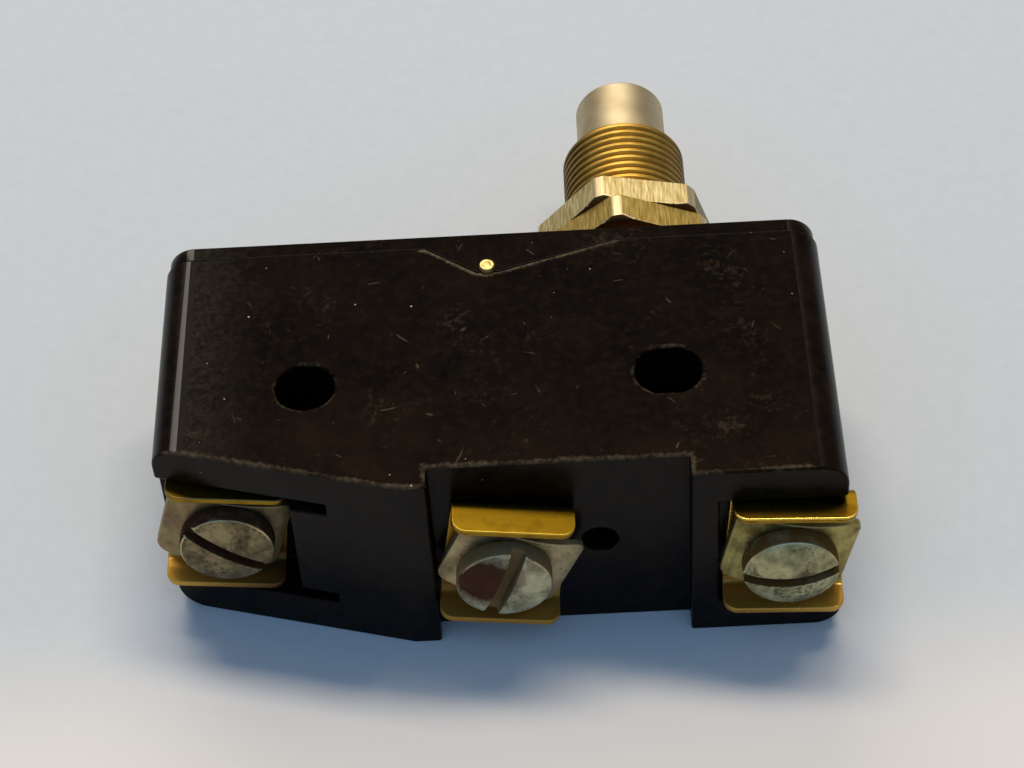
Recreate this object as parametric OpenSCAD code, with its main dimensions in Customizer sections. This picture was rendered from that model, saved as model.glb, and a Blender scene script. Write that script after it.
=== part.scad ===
// Panel-mounted pushbutton snap-action switch, lying on its side face.
// Millimetres. The origin is midway between the two side mounting holes, on the
// lower side face. +X runs towards the button end, +Y is the way the button
// comes out, and +Z is up through the thickness of the case.

/* [Case] */
// Distance between the two side mounting holes
hole_spacing = 25.4; // [25.2:0.1:25.6]
// Diameter of the side mounting holes
hole_d = 4.2; // [4:0.05:4.4]
// Length of the oblong hole, which is as wide as the round one
slot_l = 4.75; // [4.65:0.05:5]
// Thickness of the case from side face to side face
case_t = 17.45; // [17.2:0.05:18.2]
// Left end of the case, from the middle of the holes
case_left = 23.4; // [23:0.1:24.5]
// Right end of the case, from the middle of the holes
case_right = 24.4; // [24.2:0.1:25.4]
// Radius of the rounded end edges
end_round = 2; // [1.2:0.1:2.3]
// Terminal side of the case, below the line of the holes
terminal_h = 9.6; // [9.4:0.1:10.2]
// Depth of the recess round the middle terminal
recess_depth = 1.7; // [1.4:0.1:2]
// Slope of the terminal side towards the left end
slope_angle = 15; // [13:0.5:16]
// Parting line between case and cover, above the line of the holes
parting_h = 12.95; // [12.7:0.05:13.3]
// Thickness of the side walls round the contact chamber
wall_t = 2.4; // [2:0.1:2.5]

/* [Cover] */
// Thickness of the cover
cover_t = 1.3; // [1:0.05:1.8]
// How far the cover stays short of the case at each end
cover_inset = 0.2; // [0.1:0.05:0.4]
// How far the pointed tongues reach down over the case
tongue_drop = 2.6; // [2.3:0.1:2.8]
// Diameter of the cross pin that holds the cover
pin_d = 1; // [0.8:0.05:1.2]
// How far the cross pin stands out of the upper side face
pin_stand = 0.3; // [0.1:0.05:0.5]

/* [Bushing] */
// Place of the plunger axis along the case
bushing_x = 10.9; // [10.6:0.1:11.2]
// Outside diameter of the bushing's thread
thread_d = 9.525; // [9.4:0.025:9.7]
// End of the bushing, above the line of the holes
bushing_end = 30.15; // [29:0.05:31]
// Gap between the cover and the lower nut
nut_gap = 2.7; // [2:0.1:3.2]
// Width of the hexagon nuts across their flats
nut_af = 12.7; // [12.2:0.1:13]
// Thickness of each nut
nut_t = 2.38; // [2.2:0.02:2.6]
// Turn of the lower nut about the bushing
lower_nut_turn = -7.6; // [-30:0.2:30]
// Turn of the upper nut about the bushing
upper_nut_turn = -18; // [-30:0.2:30]

/* [Button] */
// Diameter of the button
button_d = 7; // [6.8:0.05:7.1]
// How far the button stands out of the bushing at rest
button_stand = 5.75; // [5.7:0.05:7]
// Full travel of the button
button_travel = 5.5; // [5:0.1:5.6]
// Diameter of the button's stem
stem_d = 4.4; // [4.2:0.1:4.6]

/* [Snap mechanism] */
// Height of the snap blade above the line of the holes
blade_h = 7; // [6.9:0.05:7.2]
// Thickness of the snap blade
blade_t = 0.3; // [0.2:0.05:0.4]
// Width of the snap blade
blade_w = 8; // [7.5:0.1:9]
// Way of the moving contact between its two stops
contact_gap = 0.75; // [0.6:0.05:0.9]
// Diameter of the contacts
contact_d = 3.2; // [2.8:0.1:3.6]

/* [Terminals] */
// Width of the terminal cups
cup_w = 8.55; // [8.2:0.05:8.6]
// Height of the terminal cups over both flanges
cup_h = 10; // [9.8:0.1:10.1]
// Depth of the terminal cups from floor to flange edge
cup_depth = 3.1; // [2.8:0.1:3.4]
// Thickness of the cups' sheet brass
cup_t = 0.5; // [0.4:0.05:0.75]
// Length of the clamp washers
washer_l = 8.8; // [8.4:0.1:8.9]
// Width of the clamp washers
washer_w = 6.8; // [6.4:0.1:6.9]
// Height of the screw heads' bearing face over the cup's seat
head_seat = 2.27; // [2.25:0.01:2.5]
// Height of the screw heads' sides
head_side = 1.35; // [1.2:0.05:1.6]
// Diameter of the screw heads
head_d = 6.7; // [6.2:0.1:7]
// Diameter of the terminal screws
screw_d = 3.9; // [3.5:0.1:4]

/* [Hidden] */
$fn = 96;

// Colours
phenolic = "#1d1815";
brass = "#b98a2e";
pale_brass = "#b59a5c";
nickel_silver = "#a59a83";
steel = "#8f8c80";
beryllium_copper = "#b87a3c";
silver = "#c9c9c4";

// Clearances
slide_fit = 0.06;
seat_fit = 0.02;
joint_gap = 0.06;
touch_gap = 0.05;
contact_clear = 0.1;
cut = 1;

// Middle of the thickness, where the plunger and the terminals lie
z_mid = case_t / 2;

// Case and cover
cover_top = parting_h + cover_t;
recess_left = -4.3;
recess_right = 13.7;
recess_h = terminal_h - recess_depth;
slope_foot = -6.2;
slope_end_h = terminal_h - tan(slope_angle) * (case_left + slope_foot);
chamber_floor = 3.4;
chamber_end_wall = 1.1;
chamber_left = -case_left + 2 * chamber_end_wall;
chamber_right = case_right - chamber_end_wall;
chamber_play = 0.2;
slot_end_extra = 0.28;
slot_end_d = hole_d + slot_end_extra;
tongue_left = -4.2;
tongue_right = 9.5;
tongue_tip = parting_h - tongue_drop;
tongue_tip_w = 1.4;
pin_x = 0.24;
pin_drop = 2.15;
pin_h = parting_h - pin_drop;
pin_inset = 0.15;
pin_pit_d = 1.37;
pin_pit_depth = 0.5;
rib_w = 3;
rib_drop = 1.9;
rib_rise = 1.4;
blind_hole = [7.4, 2.5, 3];

// Terminals in the order common, normally open, normally closed
COMMON = 0;
OPEN = 1;
CLOSED = 2;
common_inset = 4.5;
closed_inset = 3.95;
term_x = [common_inset - case_left, 0.6, case_right - closed_inset];
term_floor = [-3.6, -recess_h, -8];
cup_turn = [-7, -8.2, -3.2];
cup_shift = [-0.1, 0.18, 0];
cup_spread = [-0.1, 0.2, 0.5];
washer_turn = [-16.5, -24, -12];
washer_shift = [-0.3, 0.45, 0.1];
slot_turn = [-40, 70, 4.5];
pocket_w = 11.1;
pocket_reach = 4.85;
common_pocket_end = term_x[COMMON] + pocket_reach;
closed_pocket_end = term_x[CLOSED] - pocket_reach;
groove_l = 2.65;
groove_end = common_pocket_end + groove_l;
groove_w = 1.1;
cup_bend = 1.1;
cup_corner = 1;
washer_t = 0.6;
washer_sag = 0.85;
washer_corner = 0.8;
washer_play = 1.1;
washer_hole_d = screw_d + washer_play;
screw_play = 0.3;
screw_hole_d = screw_d + screw_play;
screw_depth = 5.6;
head_dome = [0.45, 0.5, 0.9];
slot_w = [0.85, 1, 0.85];
slot_depth = 0.55;
insert_d = 5.8;
insert_top = [chamber_floor, chamber_floor, 2.6];
insert_roof = 0.6;

// Bushing, button and springs
flange_gap = 0.65;
flange_d = case_t - 2 * wall_t - flange_gap;
flange_t = 1.2;
bushing_foot = parting_h - flange_t;
thread_pitch = 25.4 / 36;
thread_angle = 60;
thread_crest_w = 0.25;
thread_groove_w = thread_pitch - thread_crest_w;
thread_depth = thread_groove_w / 2 / tan(thread_angle / 2);
pitch_share = 0.65;
pitch_d = thread_d - pitch_share * thread_pitch;
bushing_chamfer = 0.5;
nut_seat = cover_top + nut_gap;
nut_corner_cut = 0.23;
nut_chamfer = 0.25;
nut_chamfer_angle = 30;
nut_top = nut_seat + 2 * nut_t;
bore_d = button_d + 2 * slide_fit;
partition_rise = 2.35;
partition_t = 1.2;
partition_low = parting_h + partition_rise;
partition_high = partition_low + partition_t;
stem_bore_d = stem_d + 2 * slide_fit;
button_top = bushing_end + button_stand;
spring_solid_h = 3.2;
button_foot = partition_high + button_travel + spring_solid_h;
button_edge = 0.25;
stem_rise = 0.75;
stem_foot = parting_h + stem_rise;
stem_hole_d = 2.7;
stem_hole_rise = 1.8;
stem_hole_end = button_foot + stem_hole_rise;
clip_d = 6.4;
clip_t = 0.7;
clip_gap = 0.3;
clip_seat = partition_low - clip_gap - clip_t;
clip_bite = 0.4;
clip_groove_d = stem_d - 2 * clip_bite;
clip_mouth = 0.8;
act_pin_d = stem_hole_d - 2 * slide_fit;
act_pin_rise = 7.55;
act_pin_top = parting_h + act_pin_rise;
act_pin_round = 0.6;
return_wire = 0.5;
return_turns = 5;
over_wire = 0.3;
over_turns = 4;
over_play = 0.2;

// Blade, its pivot in the anchor and the stops of the moving contact
pivot_x = -14.6;
pivot_eye_d = 1;
contact_x = 17.2;
contact_head = 0.6;
contact_margin = 0.2;
blade_end = contact_x + contact_d / 2 + contact_margin;
blade_slots = [-11, 7];
blade_slot_w = 0.9;
blade_slot_z = 2;
blade_top = blade_h + blade_t / 2;
blade_low = blade_h - blade_t / 2;
anchor_left = chamber_left + chamber_play;
anchor_rise = 1.2;
strip_t = 0.7;
strip_w = 6;
closed_face = blade_top + contact_head + contact_clear;
open_face = blade_low - contact_head - contact_clear - contact_gap;
arm_low = closed_face + contact_head;
arm_end = contact_x - contact_d / 2 - contact_margin;
open_strip_left = -2.4;
closed_foot_left = 19.6;
closed_post_right = chamber_right - chamber_play;

// Turns a profile of [radius, height] points about the plunger axis
module on_plunger(profile) {
    translate([bushing_x, 0, z_mid])
        rotate([-90, 0, 0])
            rotate_extrude()
                polygon(profile);
}

// Round bar along the plunger direction at place x
module upright(x, d, low, high) {
    translate([x, low, z_mid])
        rotate([-90, 0, 0])
            cylinder(d = d, h = high - low);
}

// Plate across the middle of the thickness, from corner [x, y] to corner [x, y]
module plate(from, to, w) {
    translate([from.x, from.y, z_mid - w / 2])
        cube([to.x - from.x, to.y - from.y, w]);
}

// Block with the case's rounded end edges, short of the case by inset at each end
module rounded_block(inset, low, high) {
    left = -case_left + inset;
    right = case_right - inset;
    translate([0, high, 0])
        rotate([90, 0, 0])
            linear_extrude(high - low) {
                translate([left + end_round, 0])
                    square([right - left - 2 * end_round, case_t]);
                translate([left, end_round])
                    square([right - left, case_t - 2 * end_round]);
                for (x = [left + end_round, right - end_round], z = [end_round, case_t - end_round])
                    translate([x, z])
                        circle(r = end_round);
            }
}

// Pointed outline of the tongue, grown by gap
module tongue_outline(gap) {
    polygon([
        [tongue_left - gap, parting_h],
        [pin_x - tongue_tip_w / 2 - gap, tongue_tip - gap],
        [pin_x + tongue_tip_w / 2 + gap, tongue_tip - gap],
        [tongue_right + gap, parting_h]
    ]);
}

// Side view of the case, with the sloped left end and the recess of the middle terminal
module case_outline() {
    difference() {
        polygon([
            [-case_left, parting_h],
            [-case_left, -slope_end_h],
            [slope_foot, -terminal_h],
            [recess_left, -terminal_h],
            [recess_left, -recess_h],
            [recess_right, -recess_h],
            [recess_right, -terminal_h],
            [case_right, -terminal_h],
            [case_right, parting_h]
        ]);
        tongue_outline(joint_gap);
    }
}

// Hole of the cross pin, with the pit round its end in the upper side face
module pin_hole() {
    translate([pin_x, pin_h, pin_inset])
        cylinder(d = pin_d + 2 * seat_fit, h = case_t);
    translate([pin_x, pin_h, case_t - pin_pit_depth])
        cylinder(d = pin_pit_d, h = pin_pit_depth + cut);
}

// Hole with round ends and flat long sides, about the Z axis
module oblong_hole(h) {
    intersection() {
        for (side = [-1, 1])
            translate([side * (slot_l - slot_end_d) / 2, 0, 0])
                cylinder(d = slot_end_d, h = h);
        translate([-slot_l / 2, -hole_d / 2, 0])
            cube([slot_l, hole_d, h]);
    }
}

module case() {
    low = -terminal_h - cut;
    color(phenolic)
        difference() {
            union() {
                difference() {
                    intersection() {
                        linear_extrude(case_t)
                            case_outline();
                        rounded_block(0, -terminal_h, parting_h);
                    }
                    translate([chamber_left, chamber_floor, wall_t])
                        cube([chamber_right - chamber_left, parting_h, case_t - 2 * wall_t]);
                }
                // Rib across the chamber that the cross pin runs through
                translate([pin_x - rib_w / 2, pin_h - rib_drop, wall_t - seat_fit])
                    cube([rib_w, rib_drop + rib_rise, case_t - 2 * wall_t + 2 * seat_fit]);
            }
            pin_hole();
            // Side mounting holes, the left one round and the right one oblong
            translate([-hole_spacing / 2, 0, -cut])
                cylinder(d = hole_d, h = case_t + 2 * cut);
            translate([hole_spacing / 2, 0, -cut])
                oblong_hole(case_t + 2 * cut);
            // Pockets of the two end terminals, open to the ends of the case
            plate([-case_left - cut, low], [common_pocket_end, term_floor[COMMON]], pocket_w);
            plate([closed_pocket_end, low], [case_right + cut, term_floor[CLOSED]], pocket_w);
            // Grooves that take the flange ends of the common cup
            for (z = [z_mid - pocket_w / 2, z_mid + pocket_w / 2 - groove_w])
                translate([common_pocket_end - cut, low, z])
                    cube([groove_end - common_pocket_end + cut, term_floor[COMMON] - low, groove_w]);
            // Seats of the threaded inserts and the closed strip's foot
            for (i = [COMMON, OPEN, CLOSED])
                upright(term_x[i], insert_d + 2 * seat_fit, term_floor[i] - cut, insert_top[i]);
            plate([closed_foot_left - seat_fit, insert_top[CLOSED]],
                [chamber_right, chamber_floor + cut], strip_w + 2 * seat_fit);
            // Blind hole in the recess
            upright(blind_hole[0], blind_hole[1], -terminal_h, -recess_h + blind_hole[2]);
        }
}

module cover() {
    tongue_t = wall_t - joint_gap;
    color(phenolic)
        difference() {
            union() {
                rounded_block(cover_inset, parting_h, cover_top);
                for (z = [0, case_t - tongue_t])
                    translate([0, 0, z])
                        linear_extrude(tongue_t)
                            tongue_outline(0);
            }
            upright(bushing_x, thread_d + 2 * seat_fit, parting_h - cut, cover_top + cut);
            pin_hole();
        }
}

module cover_pin() {
    color(brass)
        translate([pin_x, pin_h, pin_inset])
            cylinder(d = pin_d, h = case_t + pin_stand - pin_inset);
}

// Profile points of one thread groove at height y
function thread_groove(y) = [
    [thread_d / 2, y - thread_groove_w / 2],
    [thread_d / 2 - thread_depth, y],
    [thread_d / 2, y + thread_groove_w / 2]
];

// Profile points of as many whole thread grooves as go between low and high, with a land at each end
function thread_grooves(low, high) =
    let (turns = floor((high - low) / thread_pitch))
    let (first = (low + high - (turns - 1) * thread_pitch) / 2)
    [for (i = [0:turns - 1]) each thread_groove(first + i * thread_pitch)];

// Threaded bushing. The thread is cut as rings where it is bare, and is a plain
// cylinder at the pitch diameter inside the nuts
module bushing() {
    r = thread_d / 2;
    engaged = pitch_d / 2;
    thread_end = bushing_end - bushing_chamfer;
    foot = [
        [bore_d / 2, bushing_foot],
        [flange_d / 2, bushing_foot],
        [flange_d / 2, parting_h],
        [r, parting_h]
    ];
    nut_thread = [[r, nut_seat], [engaged, nut_seat], [engaged, nut_top], [r, nut_top]];
    end = [
        [r, thread_end],
        [r - bushing_chamfer, bushing_end],
        [bore_d / 2, bushing_end],
        [bore_d / 2, partition_high],
        [stem_bore_d / 2, partition_high],
        [stem_bore_d / 2, partition_low],
        [bore_d / 2, partition_low]
    ];
    low_thread = thread_grooves(cover_top, nut_seat);
    high_thread = thread_grooves(nut_top, thread_end);
    color(brass)
        on_plunger(concat(foot, low_thread, nut_thread, high_thread, end));
}

// Hexagon nut with its corners turned off and its lower face chamfered, on the bushing from low upwards
module nut(low, turn) {
    corner = nut_af / 2 / cos(30);
    reach = corner - nut_corner_cut;
    face = reach - nut_chamfer / tan(nut_chamfer_angle);
    hole = pitch_d / 2 + seat_fit;
    color(pale_brass)
        intersection() {
            translate([bushing_x, low, z_mid])
                rotate([-90, 90 + turn, 0])
                    cylinder(r = corner, h = nut_t, $fn = 6);
            on_plunger([
                [hole, low],
                [face, low],
                [reach, low + nut_chamfer],
                [reach, low + nut_t],
                [hole, low + nut_t]
            ]);
        }
}

module lower_nut() {
    nut(nut_seat, lower_nut_turn);
}

module upper_nut() {
    nut(nut_seat + nut_t, upper_nut_turn);
}

module push_button() {
    r = button_d / 2;
    color(nickel_silver)
        difference() {
            on_plunger([
                [0, stem_foot],
                [stem_d / 2, stem_foot],
                [stem_d / 2, clip_seat],
                [clip_groove_d / 2, clip_seat],
                [clip_groove_d / 2, clip_seat + clip_t],
                [stem_d / 2, clip_seat + clip_t],
                [stem_d / 2, button_foot],
                [r, button_foot],
                [r, button_top - button_edge],
                [r - button_edge, button_top],
                [0, button_top]
            ]);
            upright(bushing_x, stem_hole_d, stem_foot - cut, stem_hole_end);
        }
}

// Spring clip in the stem's groove that stops the button under the bushing's partition
module stem_clip() {
    clip_hole = clip_groove_d + 2 * seat_fit;
    color(steel)
        difference() {
            upright(bushing_x, clip_d, clip_seat + seat_fit, clip_seat + clip_t - seat_fit);
            upright(bushing_x, clip_hole, clip_seat - cut, clip_seat + clip_t + cut);
            plate([bushing_x, clip_seat - cut], [bushing_x + clip_d, clip_seat + clip_t + cut], clip_hole * clip_mouth);
        }
}

// Ring of points round the wire of a coil, at turn t
function wire_ring(t, radius, wire, pitch, sides) = [
    for (s = [0:sides - 1])
        let (a = 360 * t, b = 360 * s / sides)
        [
            (radius + wire / 2 * cos(b)) * cos(a),
            (radius + wire / 2 * cos(b)) * sin(a),
            pitch * t + wire / 2 * sin(b)
        ]
];

// Coil spring about the plunger axis that fills the height from low to high
module coil(radius, wire, turns, low, high) {
    steps = 14;
    sides = 6;
    rings = turns * steps;
    pitch = (high - low - wire) / turns;
    points = [for (i = [0:rings]) each wire_ring(i / steps, radius, wire, pitch, sides)];
    skin = [
        for (i = [0:rings - 1], s = [0:sides - 1])
            let (next = (s + 1) % sides)
            [i * sides + s, (i + 1) * sides + s, (i + 1) * sides + next, i * sides + next]
    ];
    ends = [[for (s = [0:sides - 1]) s], [for (s = [sides - 1:-1:0]) rings * sides + s]];
    translate([bushing_x, low + wire / 2, z_mid])
        rotate([-90, 0, 0])
            polyhedron(points, concat(skin, ends));
}

module return_spring() {
    radius = (stem_d + bore_d) / 4;
    color(steel)
        coil(radius, return_wire, return_turns, partition_high + touch_gap, button_foot - touch_gap);
}

module overtravel_spring() {
    radius = stem_hole_d / 2 - over_wire / 2 - over_play;
    color(steel)
        coil(radius, over_wire, over_turns, act_pin_top + touch_gap, stem_hole_end - touch_gap);
}

module actuating_pin() {
    r = act_pin_d / 2;
    foot = blade_top + touch_gap;
    color("#6b4a2c")
        on_plunger([
            [0, foot],
            [r - act_pin_round, foot],
            [r, foot + act_pin_round],
            [r, act_pin_top],
            [0, act_pin_top]
        ]);
}

// Three-leaf blade whose rolled end turns in the anchor's groove
module snap_blade() {
    color(beryllium_copper)
        difference() {
            union() {
                plate([pivot_x, blade_low], [blade_end, blade_top], blade_w);
                translate([pivot_x, blade_h, z_mid - blade_w / 2])
                    cylinder(d = pivot_eye_d, h = blade_w);
            }
            for (side = [-1, 1])
                translate([blade_slots[0], blade_h - cut, z_mid + side * blade_slot_z - blade_slot_w / 2])
                    cube([blade_slots[1] - blade_slots[0], 2 * cut, blade_slot_w]);
            upright(contact_x, contact_d / 2 + 2 * seat_fit, blade_low - cut, blade_top + cut);
        }
}

module moving_contact() {
    color(silver) {
        upright(contact_x, contact_d, blade_top, blade_top + contact_head);
        upright(contact_x, contact_d, blade_low - contact_head, blade_low);
        upright(contact_x, contact_d / 2, blade_low - seat_fit, blade_top + seat_fit);
    }
}

module spring_anchor() {
    color(brass)
        difference() {
            plate([anchor_left, chamber_floor], [pivot_x, blade_h + anchor_rise], blade_w);
            translate([pivot_x, blade_h, z_mid - blade_w])
                cylinder(d = pivot_eye_d + 2 * slide_fit, h = 2 * blade_w);
        }
}

// Threaded bush of terminal i, moulded into the case
module insert(i) {
    color(brass)
        difference() {
            upright(term_x[i], insert_d, term_floor[i], insert_top[i]);
            upright(term_x[i], screw_d + 2 * seat_fit, term_floor[i] - cut, insert_top[i] - insert_roof);
        }
}

module common_insert() {
    insert(COMMON);
}

module open_insert() {
    insert(OPEN);
}

module closed_insert() {
    insert(CLOSED);
}

module open_strip() {
    color(brass)
        plate([open_strip_left, chamber_floor], [blade_end, chamber_floor + strip_t], strip_w);
}

module closed_strip() {
    low = insert_top[CLOSED];
    post_left = closed_post_right - strip_t;
    color(brass) {
        plate([closed_foot_left, low], [closed_post_right, low + strip_t], strip_w);
        plate([post_left, low], [closed_post_right, arm_low + strip_t], strip_w);
        plate([arm_end, arm_low], [closed_post_right, arm_low + strip_t], strip_w);
    }
}

module open_contact() {
    color(silver)
        upright(contact_x, contact_d, chamber_floor + strip_t, open_face);
}

module closed_contact() {
    color(silver)
        upright(contact_x, contact_d, closed_face, arm_low);
}

// Frame of terminal i: X along the case, Y up and Z out of the terminal side
module at_terminal(i) {
    translate([term_x[i], term_floor[i], z_mid])
        rotate([90, 0, 0])
            children();
}

// Rectangle on the X axis with its two lower corners rounded
module round_foot(w, h, r) {
    translate([-w / 2, r])
        square([w, h - r]);
    translate([-w / 2 + r, 0])
        square([w - 2 * r, r]);
    for (side = [-1, 1])
        translate([side * (w / 2 - r), r])
            circle(r = r);
}

// Brass cup bent up from sheet, open at both ends, under the screw of terminal i
module cup(i) {
    h = cup_h + cup_spread[i];
    color(brass)
        at_terminal(i)
            difference() {
                translate([cup_shift[i], 0, 0])
                    rotate(cup_turn[i])
                        intersection() {
                            rotate([90, 0, 90])
                                linear_extrude(cup_w, center = true)
                                    difference() {
                                        round_foot(h, cup_depth, cup_bend);
                                        translate([0, cup_t])
                                            round_foot(h - 2 * cup_t, cup_depth, cup_bend - cup_t);
                                    }
                            rotate([-90, 0, 0])
                                translate([0, -cup_depth])
                                    linear_extrude(h + cut, center = true)
                                        round_foot(cup_w, cup_depth, cup_corner);
                        }
                cylinder(d = screw_hole_d, h = 3 * cup_t, center = true);
            }
}

module common_cup() {
    cup(COMMON);
}

module open_cup() {
    cup(OPEN);
}

module closed_cup() {
    cup(CLOSED);
}

// Rectangle about the origin with rounded corners
module round_rect(w, h, r) {
    square([w - 2 * r, h], center = true);
    square([w, h - 2 * r], center = true);
    for (x = [-1, 1], y = [-1, 1])
        translate([x * (w / 2 - r), y * (h / 2 - r)])
            circle(r = r);
}

// Bowed steel clamp washer under the head of terminal i's screw
module washer(i) {
    bow = (pow(washer_l / 2, 2) + pow(washer_sag, 2)) / (2 * washer_sag);
    color(steel)
        at_terminal(i)
            difference() {
                translate([washer_shift[i], 0, 0])
                    rotate(washer_turn[i])
                        intersection() {
                            linear_extrude(head_seat + cut)
                                round_rect(washer_l, washer_w, washer_corner);
                            translate([0, washer_w, head_seat - bow])
                                rotate([90, 0, 0])
                                    difference() {
                                        cylinder(r = bow, h = 2 * washer_w);
                                        translate([0, 0, -cut])
                                            cylinder(r = bow - washer_t, h = 2 * washer_w + 2 * cut);
                                    }
                        }
                translate([washer_shift[i], 0, 0])
                    cylinder(d = washer_hole_d, h = head_seat + cut);
            }
}

module common_washer() {
    washer(COMMON);
}

module open_washer() {
    washer(OPEN);
}

module closed_washer() {
    washer(CLOSED);
}

// Slotted terminal screw of terminal i, with a domed head
module terminal_screw(i) {
    r = head_d / 2;
    rim = head_seat + head_side;
    top = rim + head_dome[i];
    ball = (pow(r, 2) + pow(head_dome[i], 2)) / (2 * head_dome[i]);
    color(steel)
        at_terminal(i)
            rotate(slot_turn[i])
                difference() {
                    union() {
                        translate([0, 0, -screw_depth])
                            cylinder(d = screw_d, h = screw_depth + rim);
                        intersection() {
                            translate([0, 0, head_seat])
                                cylinder(r = r, h = head_side + cut);
                            translate([0, 0, top - ball])
                                sphere(r = ball);
                        }
                    }
                    translate([-head_d, -slot_w[i] / 2, rim - slot_depth])
                        cube([2 * head_d, slot_w[i], slot_depth + cut]);
                }
}

module common_screw() {
    terminal_screw(COMMON);
}

module open_screw() {
    terminal_screw(OPEN);
}

module closed_screw() {
    terminal_screw(CLOSED);
}

case();
cover();
cover_pin();
bushing();
lower_nut();
upper_nut();
push_button();
stem_clip();
return_spring();
overtravel_spring();
actuating_pin();
snap_blade();
moving_contact();
spring_anchor();
common_insert();
open_insert();
closed_insert();
open_strip();
closed_strip();
open_contact();
closed_contact();
common_cup();
open_cup();
closed_cup();
common_washer();
open_washer();
closed_washer();
common_screw();
open_screw();
closed_screw();
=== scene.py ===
"""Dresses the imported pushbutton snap-action switch, piece by piece as it is put together."""

import math

import bmesh
import bpy
from mathutils import Euler, Matrix, Vector


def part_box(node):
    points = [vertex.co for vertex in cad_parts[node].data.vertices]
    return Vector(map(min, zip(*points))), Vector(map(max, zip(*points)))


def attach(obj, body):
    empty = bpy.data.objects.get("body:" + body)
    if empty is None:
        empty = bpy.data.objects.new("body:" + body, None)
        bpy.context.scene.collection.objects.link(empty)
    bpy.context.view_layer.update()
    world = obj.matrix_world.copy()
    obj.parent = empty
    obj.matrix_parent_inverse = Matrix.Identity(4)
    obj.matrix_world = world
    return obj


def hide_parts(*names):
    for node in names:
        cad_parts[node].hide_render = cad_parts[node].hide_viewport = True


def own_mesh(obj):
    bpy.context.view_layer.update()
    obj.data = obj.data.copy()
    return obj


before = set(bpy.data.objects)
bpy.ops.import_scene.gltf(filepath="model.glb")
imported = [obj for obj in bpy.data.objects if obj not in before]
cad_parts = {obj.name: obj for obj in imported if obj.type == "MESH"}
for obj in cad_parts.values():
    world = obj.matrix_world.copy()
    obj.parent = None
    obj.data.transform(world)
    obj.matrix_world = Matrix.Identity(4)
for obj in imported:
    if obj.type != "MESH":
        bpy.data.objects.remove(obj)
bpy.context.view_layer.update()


# Case
# The body of the switch, moulded in one piece from dark brown phenolic with wood flour in it.
# Years of handling have left its upper side face dull and dusty and its edges rubbed to the paler
# filler, while the sides that nothing has rubbed are as glossy as they came from the mould.

# A millimetre in the frame's metres. The sizes and places of the pieces are in millimetres.
MM = 0.001
CASE_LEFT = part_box("case")[0][0] / MM
CASE_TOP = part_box("case")[1][2] / MM
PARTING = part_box("case")[1][1] / MM
HOLE_SPACING = 25.4
SIDE_HOLES = ((-HOLE_SPACING / 2, 0), (HOLE_SPACING / 2, 0))
TONGUE_LEFT, TONGUE_POINT, TONGUE_RIGHT = -5, 0.24, 10
TONGUE_LOW = 10
JOINT_HIGH = PARTING + 0.3
CASE_EDGE = 0.18
JOINT_EDGE = 0.06
# Edges sharper than the first are rounded, and edges flatter than the second are taken out.
SHARP_EDGE = math.radians(28)
FLAT_EDGE = math.radians(0.2)
# Points this near to each other are one, and faces this near to a side face's level belong to it.
SAME_POINT = 0.001
FLUSH = 0.05
# The upright part of a face's normal, on a level face and where the left end rounds into a side face.
LEVEL = 0.999
ROUNDING = (0.98, 0.9999)
END_STRIP = CASE_LEFT + 2.45
# The border that is worn on the upper side face, and how worn its stretches are.
WEAR_BAND = 0.45
WEAR_STEP = 0.8
HOLE_RIM = 3.2
HOLE_WEAR = 0.62
TERMINAL_SIDE = -3
RIGHT_CORNER = 22
TERMINAL_WEAR = 0.95
TONGUE_WEAR_LEFT, TONGUE_WEAR_RIGHT = 2, 1.5
LEFT_WEAR = 0.7
OTHER_WEAR = 0.3
# The order of a moulding's finishes.
GLOSSY, RUBBED, HANDLED, HALF_POLISHED = range(4)


def as_piece(name, body, slot, bm, *finishes):
    """Makes a mesh into a piece that rides on a body. Its argument slot is not used."""
    for face in bm.faces:
        face.smooth = True
    mesh = bpy.data.meshes.new(name)
    bm.to_mesh(mesh)
    bm.free()
    for finish in finishes:
        mesh.materials.append(finish)
    piece = bpy.data.objects.new(name, mesh)
    bpy.context.scene.collection.objects.link(piece)
    shade = piece.modifiers.new("even_flats", "WEIGHTED_NORMAL")
    shade.keep_sharp = True
    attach(piece, body)
    return piece


def eased(node, radius, fine=None):
    """A copy of a solid with its sharp edges rounded, less where fine picks an edge by its middle in mm.
    Its face attribute rubbed is 1 on the rounded strips."""
    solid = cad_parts[node]
    bm = bmesh.new()
    bm.from_mesh(solid.data)
    bm.transform(solid.matrix_world)
    bmesh.ops.remove_doubles(bm, verts=bm.verts, dist=SAME_POINT * MM)
    bmesh.ops.dissolve_limit(bm, angle_limit=FLAT_EDGE, verts=bm.verts, edges=bm.edges)
    rubbed = bm.faces.layers.float.new("rubbed")
    for picked, size in ((True, JOINT_EDGE), (False, radius)):
        sharp = []
        for edge in bm.edges:
            middle = (edge.verts[0].co + edge.verts[1].co) / 2 / MM
            is_fine = bool(fine and fine(middle))
            done = any(face[rubbed] for face in edge.link_faces)
            if is_fine == picked and not done and edge.is_manifold and edge.calc_face_angle() > SHARP_EDGE:
                sharp.append(edge)
        if sharp:
            rounded = bmesh.ops.bevel(
                bm, geom=sharp, offset=size * MM, segments=2, profile=0.5,
                affect="EDGES", clamp_overlap=False,
            )
            for face in rounded["faces"]:
                face[rubbed] = 1
    bm.normal_update()
    return bm


def in_joint(p):
    """Is a point in mm on the joint between case and cover, whose edges have stayed sharp?"""
    return TONGUE_LOW < p.y < JOINT_HIGH


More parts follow.
